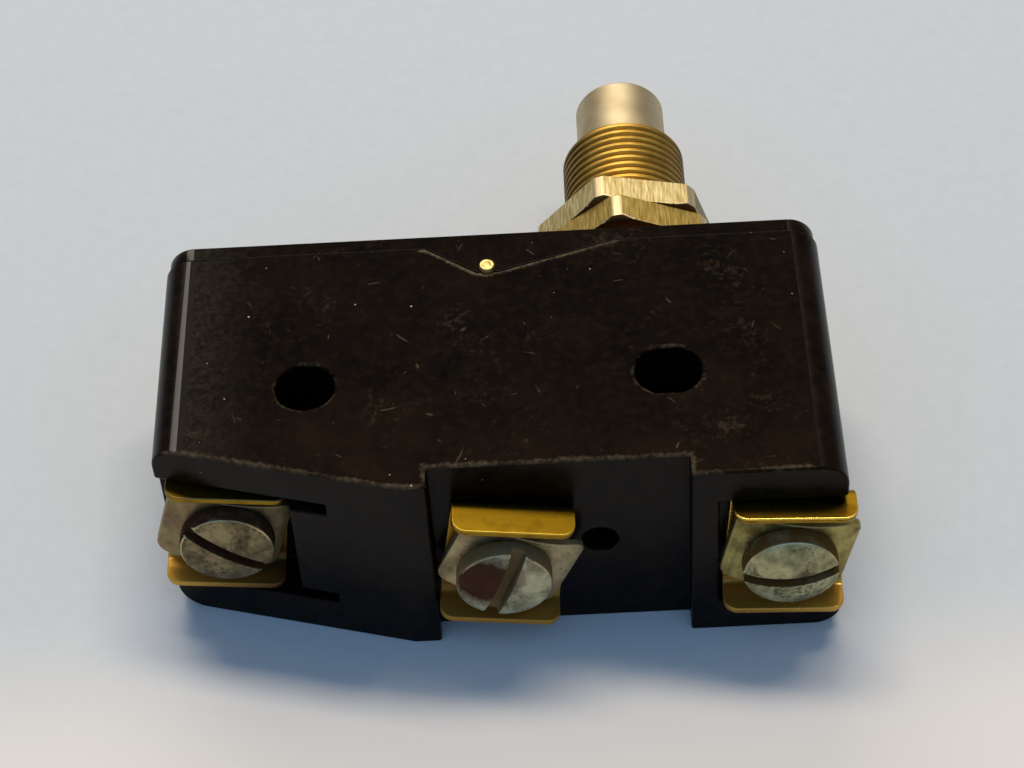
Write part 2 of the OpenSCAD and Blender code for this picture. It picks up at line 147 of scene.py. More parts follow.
def moulding(node, scuff=None):
    """A phenolic piece with dull side faces and a polished left end, each with a finish of its own.
    The point attribute scuffed tells how pale the border of its upper side face is worn, which scuff
    gives by the place in mm."""
    bm = eased(node, CASE_EDGE, in_joint)
    rubbed = bm.faces.layers.float["rubbed"]
    scuffed = bm.verts.layers.float.new("scuffed")
    if scuff:
        top = (CASE_TOP - FLUSH) * MM
        upper = [f for f in bm.faces if f.normal.z > LEVEL and f.calc_center_median().z > top]
        border = [e for e in bm.edges if len([f for f in e.link_faces if f in upper]) == 1]
        for edge in border:
            cuts = int(edge.calc_length() / (WEAR_STEP * MM))
            if cuts:
                bmesh.ops.subdivide_edges(bm, edges=[edge], cuts=cuts)
        bmesh.ops.inset_region(bm, faces=upper, thickness=WEAR_BAND * MM, use_even_offset=True)
        inner = {v for f in upper for v in f.verts}
        for v in bm.verts:
            if v not in inner and v.co.z > (CASE_TOP - 2 * CASE_EDGE) * MM:
                v[scuffed] = scuff(v.co / MM)
        bm.normal_update()
    for face in bm.faces:
        middle = face.calc_center_median() / MM
        upright = abs(face.normal.z)
        on_side = upright > LEVEL and (middle.z > CASE_TOP - FLUSH or middle.z < FLUSH)
        edge_of_side = face[rubbed] and middle.z > CASE_TOP - 2 * CASE_EDGE and not in_joint(middle)
        on_end = middle.x < 0 and not face[rubbed] and ROUNDING[0] < upright <= ROUNDING[1]
        near_end = on_side and middle.x < END_STRIP
        if on_end:
            face.material_index = HANDLED
        elif near_end:
            face.material_index = HALF_POLISHED
        else:
            face.material_index = RUBBED if on_side or edge_of_side else GLOSSY
    return bm


def case_scuff(p):
    """How worn the border of the case is: most along the terminal side and left of the cross pin."""
    if any((p.xy - Vector(hole)).length < HOLE_RIM for hole in SIDE_HOLES):
        return HOLE_WEAR
    if p.y < TERMINAL_SIDE and p.x < RIGHT_CORNER:
        return TERMINAL_WEAR
    if p.y > TONGUE_LOW and TONGUE_LEFT < p.x < TONGUE_RIGHT:
        return TONGUE_WEAR_LEFT if p.x < TONGUE_POINT else TONGUE_WEAR_RIGHT
    return LEFT_WEAR if p.x < 0 and p.y < TONGUE_LOW else OTHER_WEAR


# Colours of the phenolic's resin, its wood flour, the film on it, its bared filler, and loose dust.
PHENOLIC_BLACK = "#050302"
PHENOLIC_BROWN = "#1a0f07"
PHENOLIC_FILM = "#20150b"
PHENOLIC_FILLER = "#75664f"
DUST = "#a89f90"
PHENOLIC_IOR = 1.6


def linear(colour):
    """An sRGB hex colour as the linear red, green, blue and alpha that a shader takes."""
    parts = [int(colour[i:i + 2], 16) / 255 for i in (1, 3, 5)]
    return [p / 12.92 if p <= 0.04045 else ((p + 0.055) / 1.055) ** 2.4 for p in parts] + [1]


def spots(size):
    """The scale that makes a pattern's spots that many millimetres across."""
    return 1 / (size * MM)


def new_finish(name):
    """An empty material, to be filled with nodes."""
    made = bpy.data.materials.new(name)
    made.use_nodes = True
    made.node_tree.nodes.clear()
    return made


def add(finish, kind, inputs=None, **settings):
    """Adds a node with its settings, sets or links its inputs, and gives back its outputs."""
    made = finish.node_tree.nodes.new("ShaderNode" + kind)
    for name, value in settings.items():
        setattr(made, name, value)
    for socket, value in (inputs or {}).items():
        if isinstance(value, bpy.types.NodeSocket):
            finish.node_tree.links.new(value, made.inputs[socket])
        else:
            made.inputs[socket].default_value = value
    return made.outputs


def glossy_phenolic(name, shine, mirror):
    """Phenolic with its moulded skin: near black, with a faint brown cloud of flour and a little dust.
    shine is the range of its roughness, and mirror the level of its specular light."""
    made = new_finish(name)
    where = add(made, "TexCoord")["Object"]
    flour = add(
        made, "TexNoise", {"Vector": where, "Scale": spots(1.5), "Detail": 5, "Roughness": 0.62}
    )["Fac"]
    flour_share = add(made, "MapRange", {"Value": flour, "From Min": 0.35, "From Max": 0.7})[0]
    resin = {0: flour_share, 6: linear(PHENOLIC_BLACK), 7: linear(PHENOLIC_BROWN)}
    dark = add(made, "Mix", resin, data_type="RGBA")[2]
    # One speck of dust to a cell of 2.2 mm, of which the larger random draws show, up to 0.2 mm across.
    speck_cell = add(made, "TexVoronoi", {"Vector": where, "Scale": spots(2.2)})
    speck_draw = add(made, "SeparateColor", {0: speck_cell["Color"]})[0]
    speck_size = add(
        made, "MapRange", {"Value": speck_draw, "From Min": 0.5, "From Max": 1, "To Max": 0.045}
    )[0]
    speck = add(made, "Math", {0: speck_cell["Distance"], 1: speck_size}, operation="LESS_THAN")[0]
    speck_tone = add(made, "Math", {0: speck, 1: 0.4}, operation="MULTIPLY")[0]
    dusted = add(made, "Mix", {0: speck_tone, 6: dark, 7: linear(DUST)}, data_type="RGBA")[2]
    ripple = add(made, "TexNoise", {"Vector": where, "Scale": spots(0.5), "Detail": 3})["Fac"]
    ripple_bump = add(made, "Bump", {"Strength": 0.05, "Distance": 0.02 * MM, "Height": ripple})[0]
    gloss = add(made, "MapRange", {"Value": flour, "To Min": shine[0], "To Max": shine[1]})[0]
    skin = {"Roughness": gloss, "Normal": ripple_bump, "IOR": PHENOLIC_IOR, "Specular IOR Level": mirror}
    shader = add(made, "BsdfPrincipled", {"Base Color": dusted, **skin})[0]
    add(made, "OutputMaterial", {"Surface": shader})
    return made


# As it left the mould: near black on the sides, which hardly catch the light.
phenolic = glossy_phenolic("phenolic_moulded_gloss", (0.2, 0.36), 0.075)

# Polished by the fingers where the left end, by which the switch is held, rounds into the side face:
# it mirrors the light in a thin line.
handled_phenolic = glossy_phenolic("phenolic_handled_polish", (0.24, 0.36), 0.5)

# Half polished, on the strip of the side face next to that end: a faint sheen that runs out.
half_polished = glossy_phenolic("phenolic_half_polish", (0.34, 0.46), 0.05)

# The same phenolic rubbed dull: it throws back little light of its own, so the brown of the flour
# shows, with a film of dust, specks, fine scratches and borders worn to the filler.
# Where the film along Y and the dust with its painted sheen along X begin and are thickest, and the
# scratches' ways in degrees.
LOW_FILM = (0, -8)
LEFT_DUST_AND_SHEEN = (-15, -24)
SCRATCH_WAYS = (20, 75, 130)

worn = new_finish("phenolic_rubbed_dull")
where = add(worn, "TexCoord")["Object"]
along = add(worn, "SeparateXYZ", {0: where})
flour = add(worn, "TexNoise", {"Vector": where, "Scale": spots(0.8), "Detail": 6, "Roughness": 0.7})["Fac"]
flour_share = add(worn, "MapRange", {"Value": flour, "From Min": 0.44, "From Max": 0.68})[0]
resin = {0: flour_share, 6: linear(PHENOLIC_BLACK), 7: linear(PHENOLIC_BROWN)}
dark = add(worn, "Mix", resin, data_type="RGBA")[2]
# The film of dust thickens towards the terminal side, where the switch is taken hold of to wire it.
film = add(worn, "TexNoise", {"Vector": where, "Scale": spots(6), "Detail": 7, "Roughness": 0.68})["Fac"]
thin_film = add(worn, "MapRange", {"Value": film, "From Min": 0.42, "From Max": 0.75, "To Max": 0.6})[0]
low_film = add(
    worn, "MapRange",
    {"Value": along["Y"], "From Min": LOW_FILM[0] * MM, "From Max": LOW_FILM[1] * MM, "To Max": 0.8},
)[0]
low_share = add(worn, "Math", {0: low_film, 1: film}, operation="MULTIPLY")[0]
film_share = add(worn, "Math", {0: thin_film, 1: low_share}, operation="ADD", use_clamp=True)[0]
filmed = add(worn, "Mix", {0: film_share, 6: dark, 7: linear(PHENOLIC_FILM)}, data_type="RGBA")[2]
# Grey dust lies on the left end in mottles of 0.4 mm, thinner away from it; the same grey is also a painted
# sheen that runs out from the polished end.
left_dust_and_sheen = add(
    worn, "MapRange",
    {"Value": along["X"], "From Min": LEFT_DUST_AND_SHEEN[0] * MM, "From Max": LEFT_DUST_AND_SHEEN[1] * MM, "To Max": 0.1},
    interpolation_type="SMOOTHSTEP",
)[0]
mottle = add(worn, "TexNoise", {"Vector": where, "Scale": spots(0.4), "Detail": 5, "Roughness": 0.7})["Fac"]
mottle_share = add(worn, "MapRange", {"Value": mottle, "From Min": 0.3, "From Max": 0.78})[0]
left_share = add(worn, "Math", {0: left_dust_and_sheen, 1: mottle_share}, operation="MULTIPLY")[0]
left_filmed = add(worn, "Mix", {0: left_share, 6: filmed, 7: linear(DUST)}, data_type="RGBA")[2]
# Soft pale rubs some 0.4 mm across, in clusters.
rub = add(worn, "TexNoise", {"Vector": where, "Scale": spots(0.4), "Detail": 4, "Roughness": 0.65})["Fac"]
cluster = add(worn, "TexNoise", {"Vector": where, "Scale": spots(5), "Detail": 2})["Fac"]
rub_sum = add(worn, "Math", {0: rub, 1: cluster}, operation="ADD")[0]
rub_share = add(worn, "MapRange", {"Value": rub_sum, "From Min": 1.2, "From Max": 1.55, "To Max": 0.22})[0]
marked = add(worn, "Mix", {0: rub_share, 6: left_filmed, 7: linear(PHENOLIC_FILLER)}, data_type="RGBA")[2]
# Scratches lie three ways: bent lines 6 mm apart and up to 0.1 mm wide, of which short parts show.
for angle in SCRATCH_WAYS:
    turned_to = add(
        worn, "Mapping", {"Vector": where, "Rotation": (0, 0, math.radians(angle))}, vector_type="TEXTURE"
    )[0]
    bends = {"Scale": 0.1 * math.pi * spots(6), "Distortion": 9, "Detail": 1, "Detail Scale": 2}
    line = add(worn, "TexWave", {"Vector": turned_to, **bends})["Fac"]
    hairline = add(
        worn, "MapRange", {"Value": line, "From Min": 0.9988, "From Max": 0.9999, "To Max": 0.36}
    )[0]
    part = add(worn, "TexNoise", {"Vector": turned_to, "Scale": spots(1.2), "Detail": 1})["Fac"]
    shown = add(worn, "MapRange", {"Value": part, "From Min": 0.66, "From Max": 0.74})[0]
    scratch = add(worn, "Math", {0: hairline, 1: shown}, operation="MULTIPLY")[0]
    marked = add(worn, "Mix", {0: scratch, 6: marked, 7: linear(PHENOLIC_FILLER)}, data_type="RGBA")[2]
# The worn border fades inwards, with a ragged limit.
scuffed = add(worn, "Attribute", attribute_name="scuffed")["Fac"]
ragged = add(worn, "TexNoise", {"Vector": where, "Scale": spots(0.35), "Detail": 4})["Fac"]
uneven = add(worn, "TexNoise", {"Vector": where, "Scale": spots(2), "Detail": 2})["Fac"]
ragged_sum = add(worn, "Math", {0: ragged, 1: uneven}, operation="ADD")[0]
limit = add(
    worn, "MapRange",
    {"Value": ragged_sum, "From Min": 0.7, "From Max": 1.3, "To Min": -0.35, "To Max": 0.35},
)[0]
scuff_sum = add(worn, "Math", {0: scuffed, 1: limit}, operation="ADD")[0]
scuff_full = add(
    worn, "MapRange", {"Value": scuff_sum, "From Min": 0.55, "From Max": 1.5, "To Max": 0.62}
)[0]
broken = add(worn, "MapRange", {"Value": ragged, "From Min": 0.4, "From Max": 0.6, "To Min": 0.65})[0]
scuff_share = add(worn, "Math", {0: scuff_full, 1: broken}, operation="MULTIPLY")[0]
edged = add(worn, "Mix", {0: scuff_share, 6: marked, 7: linear(PHENOLIC_FILLER)}, data_type="RGBA")[2]
# One speck of dust to a cell of 1.3 mm, of which the larger random draws show, up to 0.16 mm across.
speck_cell = add(worn, "TexVoronoi", {"Vector": where, "Scale": spots(1.3)})
speck_draw = add(worn, "SeparateColor", {0: speck_cell["Color"]})[0]
speck_size = add(worn, "MapRange", {"Value": speck_draw, "From Min": 0.4, "From Max": 1, "To Max": 0.062})[0]
speck = add(worn, "Math", {0: speck_cell["Distance"], 1: speck_size}, operation="LESS_THAN")[0]
speck_tone = add(worn, "Math", {0: speck, 1: speck_draw}, operation="MULTIPLY")[0]
dusted = add(worn, "Mix", {0: speck_tone, 6: edged, 7: linear(DUST)}, data_type="RGBA")[2]
grain = add(worn, "TexNoise", {"Vector": where, "Scale": spots(0.3), "Detail": 3})["Fac"]
grain_bump = add(worn, "Bump", {"Strength": 0.2, "Distance": 0.03 * MM, "Height": grain})[0]
dull_skin = {"Roughness": 0.62, "Normal": grain_bump, "IOR": PHENOLIC_IOR, "Specular IOR Level": 0.018}
worn_shader = add(worn, "BsdfPrincipled", {"Base Color": dusted, **dull_skin})[0]
add(worn, "OutputMaterial", {"Surface": worn_shader})

PHENOLICS = (phenolic, worn, handled_phenolic, half_polished)
case = as_piece("case_moulding", "housing", "phenolic", moulding("case", case_scuff), *PHENOLICS)
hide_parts("case")


# Cover
# A flat moulding of the same phenolic, which closes the case at the button's end. A pointed tongue
# on each side face reaches down into the case, where the cross pin holds it.
cover = as_piece("cover_moulding", "housing", "phenolic", moulding("cover"), *PHENOLICS)
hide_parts("cover")


# Cross pin
# A short length of brass wire, pushed through case and cover to hold them together. Its end stands
# a little out of the upper side face, where a blow has spread it into a low collar.
PIN_AXIS = (TONGUE_POINT, 10.8)
PIN_RADIUS = 0.5
PIN_FOOT, PIN_TOP = (corner[2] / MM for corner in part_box("cover_pin"))
PIN_SIDES = 32
# Radius and height of the collar, measured from the side face, and of the end with its ring groove.
COLLAR = ((PIN_RADIUS, -0.45), (0.62, -0.3), (0.62, 0), (0.59, 0.1))
GROOVED_END = ((0.55, -0.08), (0.52, -0.02), (0.48, 0), (0.37, 0), (0.34, -0.03), (0.31, 0), (0, 0))
TURNED_SIDES = 96


def turned(outline, place, sides=TURNED_SIDES, carve=None):
    """A turned mesh from an outline of (radius, height), closed on itself or from the axis back to it.
    place puts a point (across, height, up) in the frame, and carve may change a radius by height and
    turn."""
    bm = bmesh.new()
    rings = []
    for radius, height in outline:
        if radius == 0:
            rings.append([bm.verts.new(place(0, height, 0))])
            continue
        ring = []
        for i in range(sides):
            turn = 2 * math.pi * i / sides
            r = carve(radius, height, turn) if carve else radius
            ring.append(bm.verts.new(place(r * math.cos(turn), height, r * math.sin(turn))))
        rings.append(ring)
    on_axis = outline[0][0] == 0
    pairs = list(zip(rings, rings[1:])) if on_axis else list(zip(rings, rings[1:] + rings[:1]))
    for low, high in pairs:
        for i in range(sides):
            a, b = low[i % len(low)], low[(i + 1) % len(low)]
            c, d = high[(i + 1) % len(high)], high[i % len(high)]
            bm.faces.new(list(dict.fromkeys((a, b, c, d))))
    bmesh.ops.recalc_face_normals(bm, faces=bm.faces)
    return bm


def quarter(radius, height, round_by, steps=5):
    """Points of a rounded outer edge, from the side up to the end face at that height."""
    for i in range(steps + 1):
        turn = math.pi / 2 * i / steps
        yield (radius - round_by + round_by * math.cos(turn), height - round_by + round_by * math.sin(turn))


def on_cross_pin(across, height, up):
    """A point about the cross pin's axis, which runs through the thickness of the case."""
    return Vector((PIN_AXIS[0] + across, PIN_AXIS[1] + up, height)) * MM


# Drawn brass wire: pale yellow and bright on its end, with a little brown where it has tarnished.
pin_brass = new_finish("brass_drawn_wire")
where = add(pin_brass, "TexCoord")["Object"]
tarnish = add(pin_brass, "TexNoise", {"Vector": where, "Scale": spots(0.5), "Detail": 4})["Fac"]
tarnish_share = add(pin_brass, "MapRange", {"Value": tarnish, "From Min": 0.42, "From Max": 0.75})[0]
pin_colour = add(
    pin_brass, "Mix", {0: tarnish_share, 6: linear("#e6cf85"), 7: linear("#9a7a36")}, data_type="RGBA"
)[2]
beaten = add(pin_brass, "Bump", {"Strength": 0.3, "Distance": 0.02 * MM, "Height": tarnish})[0]
pin_shader = add(
    pin_brass, "BsdfPrincipled",
    {"Base Color": pin_colour, "Metallic": 1, "Roughness": 0.44, "Normal": beaten},
)[0]
add(pin_brass, "OutputMaterial", {"Surface": pin_shader})

pin_outline = [(0, PIN_FOOT), (PIN_RADIUS, PIN_FOOT)]
pin_outline += [(radius, CASE_TOP + height) for radius, height in COLLAR]
pin_outline += [(radius, PIN_TOP + height) for radius, height in GROOVED_END]
pin_mesh = turned(pin_outline, on_cross_pin, PIN_SIDES)
cross_pin = as_piece("cross_pin", "housing", "cup_brass", pin_mesh, pin_brass)
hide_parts("cover_pin")


# Bushing
# A turned brass tube with a thread of 36 turns to the inch, and a flange that the cover holds down
# on the case. Its thread is worn bright on the crests, with brown tarnish down in the roots.
button_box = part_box("push_button")
PLUNGER_AXIS = tuple((button_box[0][i] + button_box[1][i]) / 2 / MM for i in (0, 2))
BUSHING_FOOT, BUSHING_END = (corner[1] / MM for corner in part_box("bushing"))
FLANGE_RADIUS = (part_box("bushing")[1][0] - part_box("bushing")[0][0]) / 2 / MM
THREAD_RADIUS = 4.7625
THREAD_PITCH = 25.4 / 36
THREAD_DEPTH = 0.38
# How far from the middle of a root to the middle of a crest the root's flat ends and the crest's begins.
ROOT_TO, CREST_FROM = 0.08, 0.6
THREAD_ROWS = 20
BUSHING_CHAMFER = 0.5
CHAMFER_ROWS = 6
BORE_RADIUS = 3.56
BORE_CHAMFER = 0.1
PARTITION_BORE = 2.26
PARTITION_LOW, PARTITION_HIGH = 15.3, 16.5
END_FACE = BUSHING_END - 0.2
HAIR = 0.001
# Depths below the crests at which the flank and the rubbed crest begin and end, for their colours.
FLANK_TOP = 0.18
RUBBED_CREST = (0.12, 0.03)
# How far sideways from the axis the painted shade on the two sides begins and is fullest.
SHADED_SIDES = (2.6, 4.4)


def on_plunger(across, height, up):
    """A point about the plunger's axis, which runs out of the cover along Y."""
    return Vector((PLUNGER_AXIS[0] + across, height, PLUNGER_AXIS[1] + up)) * MM


def thread_cut(radius, height, turn):
    """The radius at a point of the thread, a right-hand helix with flats on its crests and in its roots."""
    threaded = THREAD_RADIUS - BUSHING_CHAMFER - HAIR < radius < THREAD_RADIUS + HAIR
    if not threaded or height < PARTING + HAIR:
        return radius
    wave = abs((height / THREAD_PITCH + turn / (2 * math.pi)) % 1 - 0.5) * 2
    groove = min(max((CREST_FROM - wave) / (CREST_FROM - ROOT_TO), 0), 1)
    return min(radius, THREAD_RADIUS - THREAD_DEPTH * groove)


# Free-cutting brass from the lathe: golden where the crests are rubbed, dark brown in the roots, with clouds
# of tarnish, and browned on its two sides as painted shade.
thread_brass = new_finish("brass_turned_thread")
where = add(thread_brass, "TexCoord")["Object"]
from_axis = add(
    thread_brass, "VectorMath",
    {0: where, 1: (PLUNGER_AXIS[0] * MM, 0, PLUNGER_AXIS[1] * MM)}, operation="SUBTRACT",
)[0]
across_axis = add(thread_brass, "VectorMath", {0: from_axis, 1: (1, 0, 1)}, operation="MULTIPLY")[0]
depth = add(thread_brass, "VectorMath", {0: across_axis}, operation="LENGTH")["Value"]
flank_reach = [(THREAD_RADIUS - below) * MM for below in (THREAD_DEPTH, FLANK_TOP)]
rise = add(
    thread_brass, "MapRange", {"Value": depth, "From Min": flank_reach[0], "From Max": flank_reach[1]}
)[0]
stain = add(thread_brass, "TexNoise", {"Vector": where, "Scale": spots(1.8), "Detail": 4})["Fac"]
stain_share = add(thread_brass, "MapRange", {"Value": stain, "From Min": 0.42, "From Max": 0.75})[0]
crest = add(
    thread_brass, "Mix", {0: stain_share, 6: linear("#dcb050"), 7: linear("#a88238")}, data_type="RGBA"
)[2]
flank = add(
    thread_brass, "Mix", {0: rise, 6: linear("#382812"), 7: linear("#b0944c")}, data_type="RGBA"
)[2]
crest_reach = [(THREAD_RADIUS - below) * MM for below in RUBBED_CREST]
on_crest = add(
    thread_brass, "MapRange", {"Value": depth, "From Min": crest_reach[0], "From Max": crest_reach[1]}
)[0]
end_face = add(thread_brass, "Attribute", attribute_name="end_face")["Fac"]
bright = add(thread_brass, "Math", {0: on_crest, 1: end_face}, operation="MAXIMUM")[0]
worn_colour = add(thread_brass, "Mix", {0: bright, 6: flank, 7: crest}, data_type="RGBA")[2]
# Painted shade: the two sides, left and right of the axis, are browned so that they look darker in the
# light.
sideways = add(thread_brass, "SeparateXYZ", {0: from_axis})["X"]
off_middle = add(thread_brass, "Math", {0: sideways}, operation="ABSOLUTE")[0]
side_shade_share = add(
    thread_brass, "MapRange",
    {"Value": off_middle, "From Min": SHADED_SIDES[0] * MM, "From Max": SHADED_SIDES[1] * MM, "To Max": 0.8},
)[0]
thread_colour = add(
    thread_brass, "Mix", {0: side_shade_share, 6: worn_colour, 7: linear("#54401c")}, data_type="RGBA"
)[2]
thread_dull = add(thread_brass, "MapRange", {"Value": rise, "To Min": 0.55, "To Max": 0.43})[0]
thread_shader = add(
    thread_brass, "BsdfPrincipled", {"Base Color": thread_colour, "Metallic": 1, "Roughness": thread_dull}
)[0]
add(thread_brass, "OutputMaterial", {"Surface": thread_shader})

bushing_outline = [(BORE_RADIUS, BUSHING_FOOT), (FLANGE_RADIUS, BUSHING_FOOT), (FLANGE_RADIUS, PARTING)]
thread_length = BUSHING_END - BUSHING_CHAMFER - PARTING
thread_rows = round(thread_length / THREAD_PITCH * THREAD_ROWS)
for row in range(thread_rows + 1):
    bushing_outline.append((THREAD_RADIUS, PARTING + thread_length * row / thread_rows))
for row in range(1, CHAMFER_ROWS + 1):
    drop = BUSHING_CHAMFER * row / CHAMFER_ROWS
    bushing_outline.append((THREAD_RADIUS - drop, BUSHING_END - BUSHING_CHAMFER + drop))
bushing_outline += [(BORE_RADIUS + BORE_CHAMFER, BUSHING_END), (BORE_RADIUS, BUSHING_END - BORE_CHAMFER)]
bushing_outline += [(BORE_RADIUS, PARTITION_HIGH), (PARTITION_BORE, PARTITION_HIGH)]
bushing_outline += [(PARTITION_BORE, PARTITION_LOW), (BORE_RADIUS, PARTITION_LOW)]
bushing_mesh = turned(bushing_outline, on_plunger, carve=thread_cut)
end_face = bushing_mesh.faces.layers.float.new("end_face")
for face in bushing_mesh.faces:
    face[end_face] = 1 if face.calc_center_median().y > END_FACE * MM else 0
bushing = as_piece("threaded_bushing", "housing", "thread_brass", bushing_mesh, thread_brass)
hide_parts("bushing")


# Panel nuts
# Two thin hexagon nuts that clamp the bushing in a panel, cut from pale drawn brass bar. Their flats carry
# coarse marks along the axis from the bar, their corners are rubbed bright and paler still as a painted
# highlight, the far right flat of the upper one is darkened as painted shade, and their undersides are
# painted dark brown as shade.
NUT_EDGE = 0.1
CORNER_AREA = 3
# The part of a face's normal along the axis, on the upper faces, the undersides and the flats.
NUT_UPPER, NUT_UNDER, NUT_FLAT = 0.9, -0.4, 0.3
FAR_RIGHT = 0.7
# How red the upper faces are, and the marks for the painted shade on the undersides and on the upper nut's
# far right flat.
UPPER_REDNESS = 0.8
UNDER_SHADE = 2
FLAT_SHADE = 0.8


def drawn_brass(name, dark, bright):
    """Drawn brass bar: pale yellow and dull, streaked along the axis every sixth of a millimetre. The face
    attribute corner makes it paler, rubbed and painted highlight both; stained makes it grey-brown as
    painted shade; and cut_face makes it redder at 1 and dark brown at 2, which is painted shade."""
    made = new_finish(name)
    where = add(made, "TexCoord")["Object"]
    drawn = add(made, "Mapping", {"Vector": where, "Scale": (spots(0.17), spots(1.5), spots(0.17))})[0]
    streak = add(made, "TexNoise", {"Vector": drawn, "Scale": 1, "Detail": 4, "Roughness": 0.6})["Fac"]
    streak_share = add(made, "MapRange", {"Value": streak, "From Min": 0.3, "From Max": 0.7})[0]
    bar = add(made, "Mix", {0: streak_share, 6: linear(dark), 7: linear(bright)}, data_type="RGBA")[2]
    # Corners rubbed paler, which is partly a painted highlight.
    corner = add(made, "Attribute", attribute_name="corner")["Fac"]
    rubbed = add(made, "Mix", {0: corner, 6: bar, 7: linear("#e0cea3")}, data_type="RGBA")[2]
    # Painted shade: grey-brown on the flat that the attribute marks.
    stain = add(made, "Attribute", attribute_name="stained")["Fac"]
    stained = add(made, "Mix", {0: stain, 6: rubbed, 7: linear("#6a5d44")}, data_type="RGBA")[2]
    cut_face = add(made, "Attribute", attribute_name="cut_face")["Fac"]
    cut = add(made, "Mix", {0: cut_face, 6: stained, 7: linear("#c28a3a")}, data_type="RGBA")[2]
    # Painted shade: dark brown on the undersides.
    painted_underside_shade = add(made, "Math", {0: cut_face, 1: 1}, operation="SUBTRACT", use_clamp=True)[0]
    colour = add(made, "Mix", {0: painted_underside_shade, 6: cut, 7: linear("#6a4c26")}, data_type="RGBA")[2]
    marks = add(made, "Bump", {"Strength": 0.5, "Distance": 0.05 * MM, "Height": streak})[0]
    shader = add(
        made, "BsdfPrincipled", {"Base Color": colour, "Metallic": 1, "Roughness": 0.5, "Normal": marks}
    )[0]
    add(made, "OutputMaterial", {"Surface": shader})
    return made


# The lower nut is the yellower of the two.
NUT_BRASSES = {
    "lower_nut": drawn_brass("brass_drawn_bar_yellow", "#a4852f", "#ecd284"),
    "upper_nut": drawn_brass("brass_drawn_bar_pale", "#ae9446", "#fbecb8"),
}
for nut in NUT_BRASSES:
    nut_mesh = eased(nut, NUT_EDGE)
    cut_face = nut_mesh.faces.layers.float.new("cut_face")
    corner = nut_mesh.faces.layers.float.new("corner")
    stained = nut_mesh.faces.layers.float.new("stained")
    # The undersides and the upper nut's far right flat get painted shade, and the small corner facets a
    # painted highlight.
    for face in nut_mesh.faces:
        up = face.normal.y
        face[cut_face] = UNDER_SHADE if up < NUT_UNDER else UPPER_REDNESS if up > NUT_UPPER else 0
        face[corner] = 1 if abs(up) < NUT_FLAT and face.calc_area() < CORNER_AREA * MM ** 2 else 0
        far_right = nut == "upper_nut" and face.normal.x > FAR_RIGHT and not face[corner]
        face[stained] = FLAT_SHADE if far_right else 0
    hexagon = as_piece(nut + "_hexagon", "housing", "nut_brass", nut_mesh, NUT_BRASSES[nut])
    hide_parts(nut)


# Button
# A turned and ground plunger of nickel silver, which slides in the bushing and is pressed by hand
# or by a cam. Its stem goes down through the bushing's partition.
BUTTON_RADIUS = 3.5
BUTTON_FOOT, BUTTON_TOP = 25.2, button_box[1][1] / MM
BUTTON_ROUND = 0.25
STEM_RADIUS = 2.2
STEM_FOOT = 13.7
HOLLOW_RADIUS, HOLLOW_TOP = 1.35, 27.0
GROOVE_RADIUS = 1.8
GROOVE_LOW, GROOVE_HIGH = 14.3, 15.0

# Ground nickel silver: warm and silvery, with faint marks round it from the wheel, which are drawn
# coarser than they are so that they show.
button_metal = new_finish("nickel_silver_ground")
where = add(button_metal, "TexCoord")["Object"]
ground = add(button_metal, "Mapping", {"Vector": where, "Scale": (spots(6), spots(0.12), spots(6))})[0]
wheel = add(button_metal, "TexNoise", {"Vector": ground, "Scale": 1, "Detail": 3})["Fac"]
handled = add(button_metal, "TexNoise", {"Vector": where, "Scale": spots(2.5), "Detail": 4})["Fac"]
handled_share = add(button_metal, "MapRange", {"Value": handled, "From Min": 0.4, "From Max": 0.75})[0]
button_colour = add(
    button_metal, "Mix", {0: handled_share, 6: linear("#cebf9d"), 7: linear("#b6a685")}, data_type="RGBA"
)[2]
button_dull = add(button_metal, "MapRange", {"Value": wheel, "To Min": 0.46, "To Max": 0.6})[0]
wheel_bump = add(button_metal, "Bump", {"Strength": 0.08, "Distance": 0.02 * MM, "Height": wheel})[0]
button_shader = add(
    button_metal, "BsdfPrincipled",
    {"Base Color": button_colour, "Metallic": 1, "Roughness": button_dull, "Normal": wheel_bump},
)[0]
add(button_metal, "OutputMaterial", {"Surface": button_shader})

button_outline = [(0, HOLLOW_TOP), (HOLLOW_RADIUS, HOLLOW_TOP)]
button_outline += [(HOLLOW_RADIUS, STEM_FOOT), (STEM_RADIUS, STEM_FOOT)]
button_outline += [(STEM_RADIUS, GROOVE_LOW), (GROOVE_RADIUS, GROOVE_LOW)]
button_outline += [(GROOVE_RADIUS, GROOVE_HIGH), (STEM_RADIUS, GROOVE_HIGH)]
button_outline += [(STEM_RADIUS, BUTTON_FOOT), (BUTTON_RADIUS, BUTTON_FOOT)]
button_outline += list(quarter(BUTTON_RADIUS, BUTTON_TOP, BUTTON_ROUND)) + [(0, BUTTON_TOP)]
button_mesh = turned(button_outline, on_plunger)
button = as_piece("button_plunger", "button", "nickel_silver", button_mesh, button_metal)
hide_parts("push_button")


# Button's springs and clip
# A return spring round the stem, a softer overtravel spring in the hollow stem, and a clip under
# the partition that keeps the button in. All are of hard-drawn steel.
WIRE_SIDES = 10
STEPS_PER_TURN = 28
RETURN_COIL = {"radius": 2.88, "wire": 0.5, "turns": 5, "low": 16.55, "high": 25.15}
OVERTRAVEL_COIL = {"radius": 1.0, "wire": 0.3, "turns": 4, "low": 20.55, "high": 26.95}


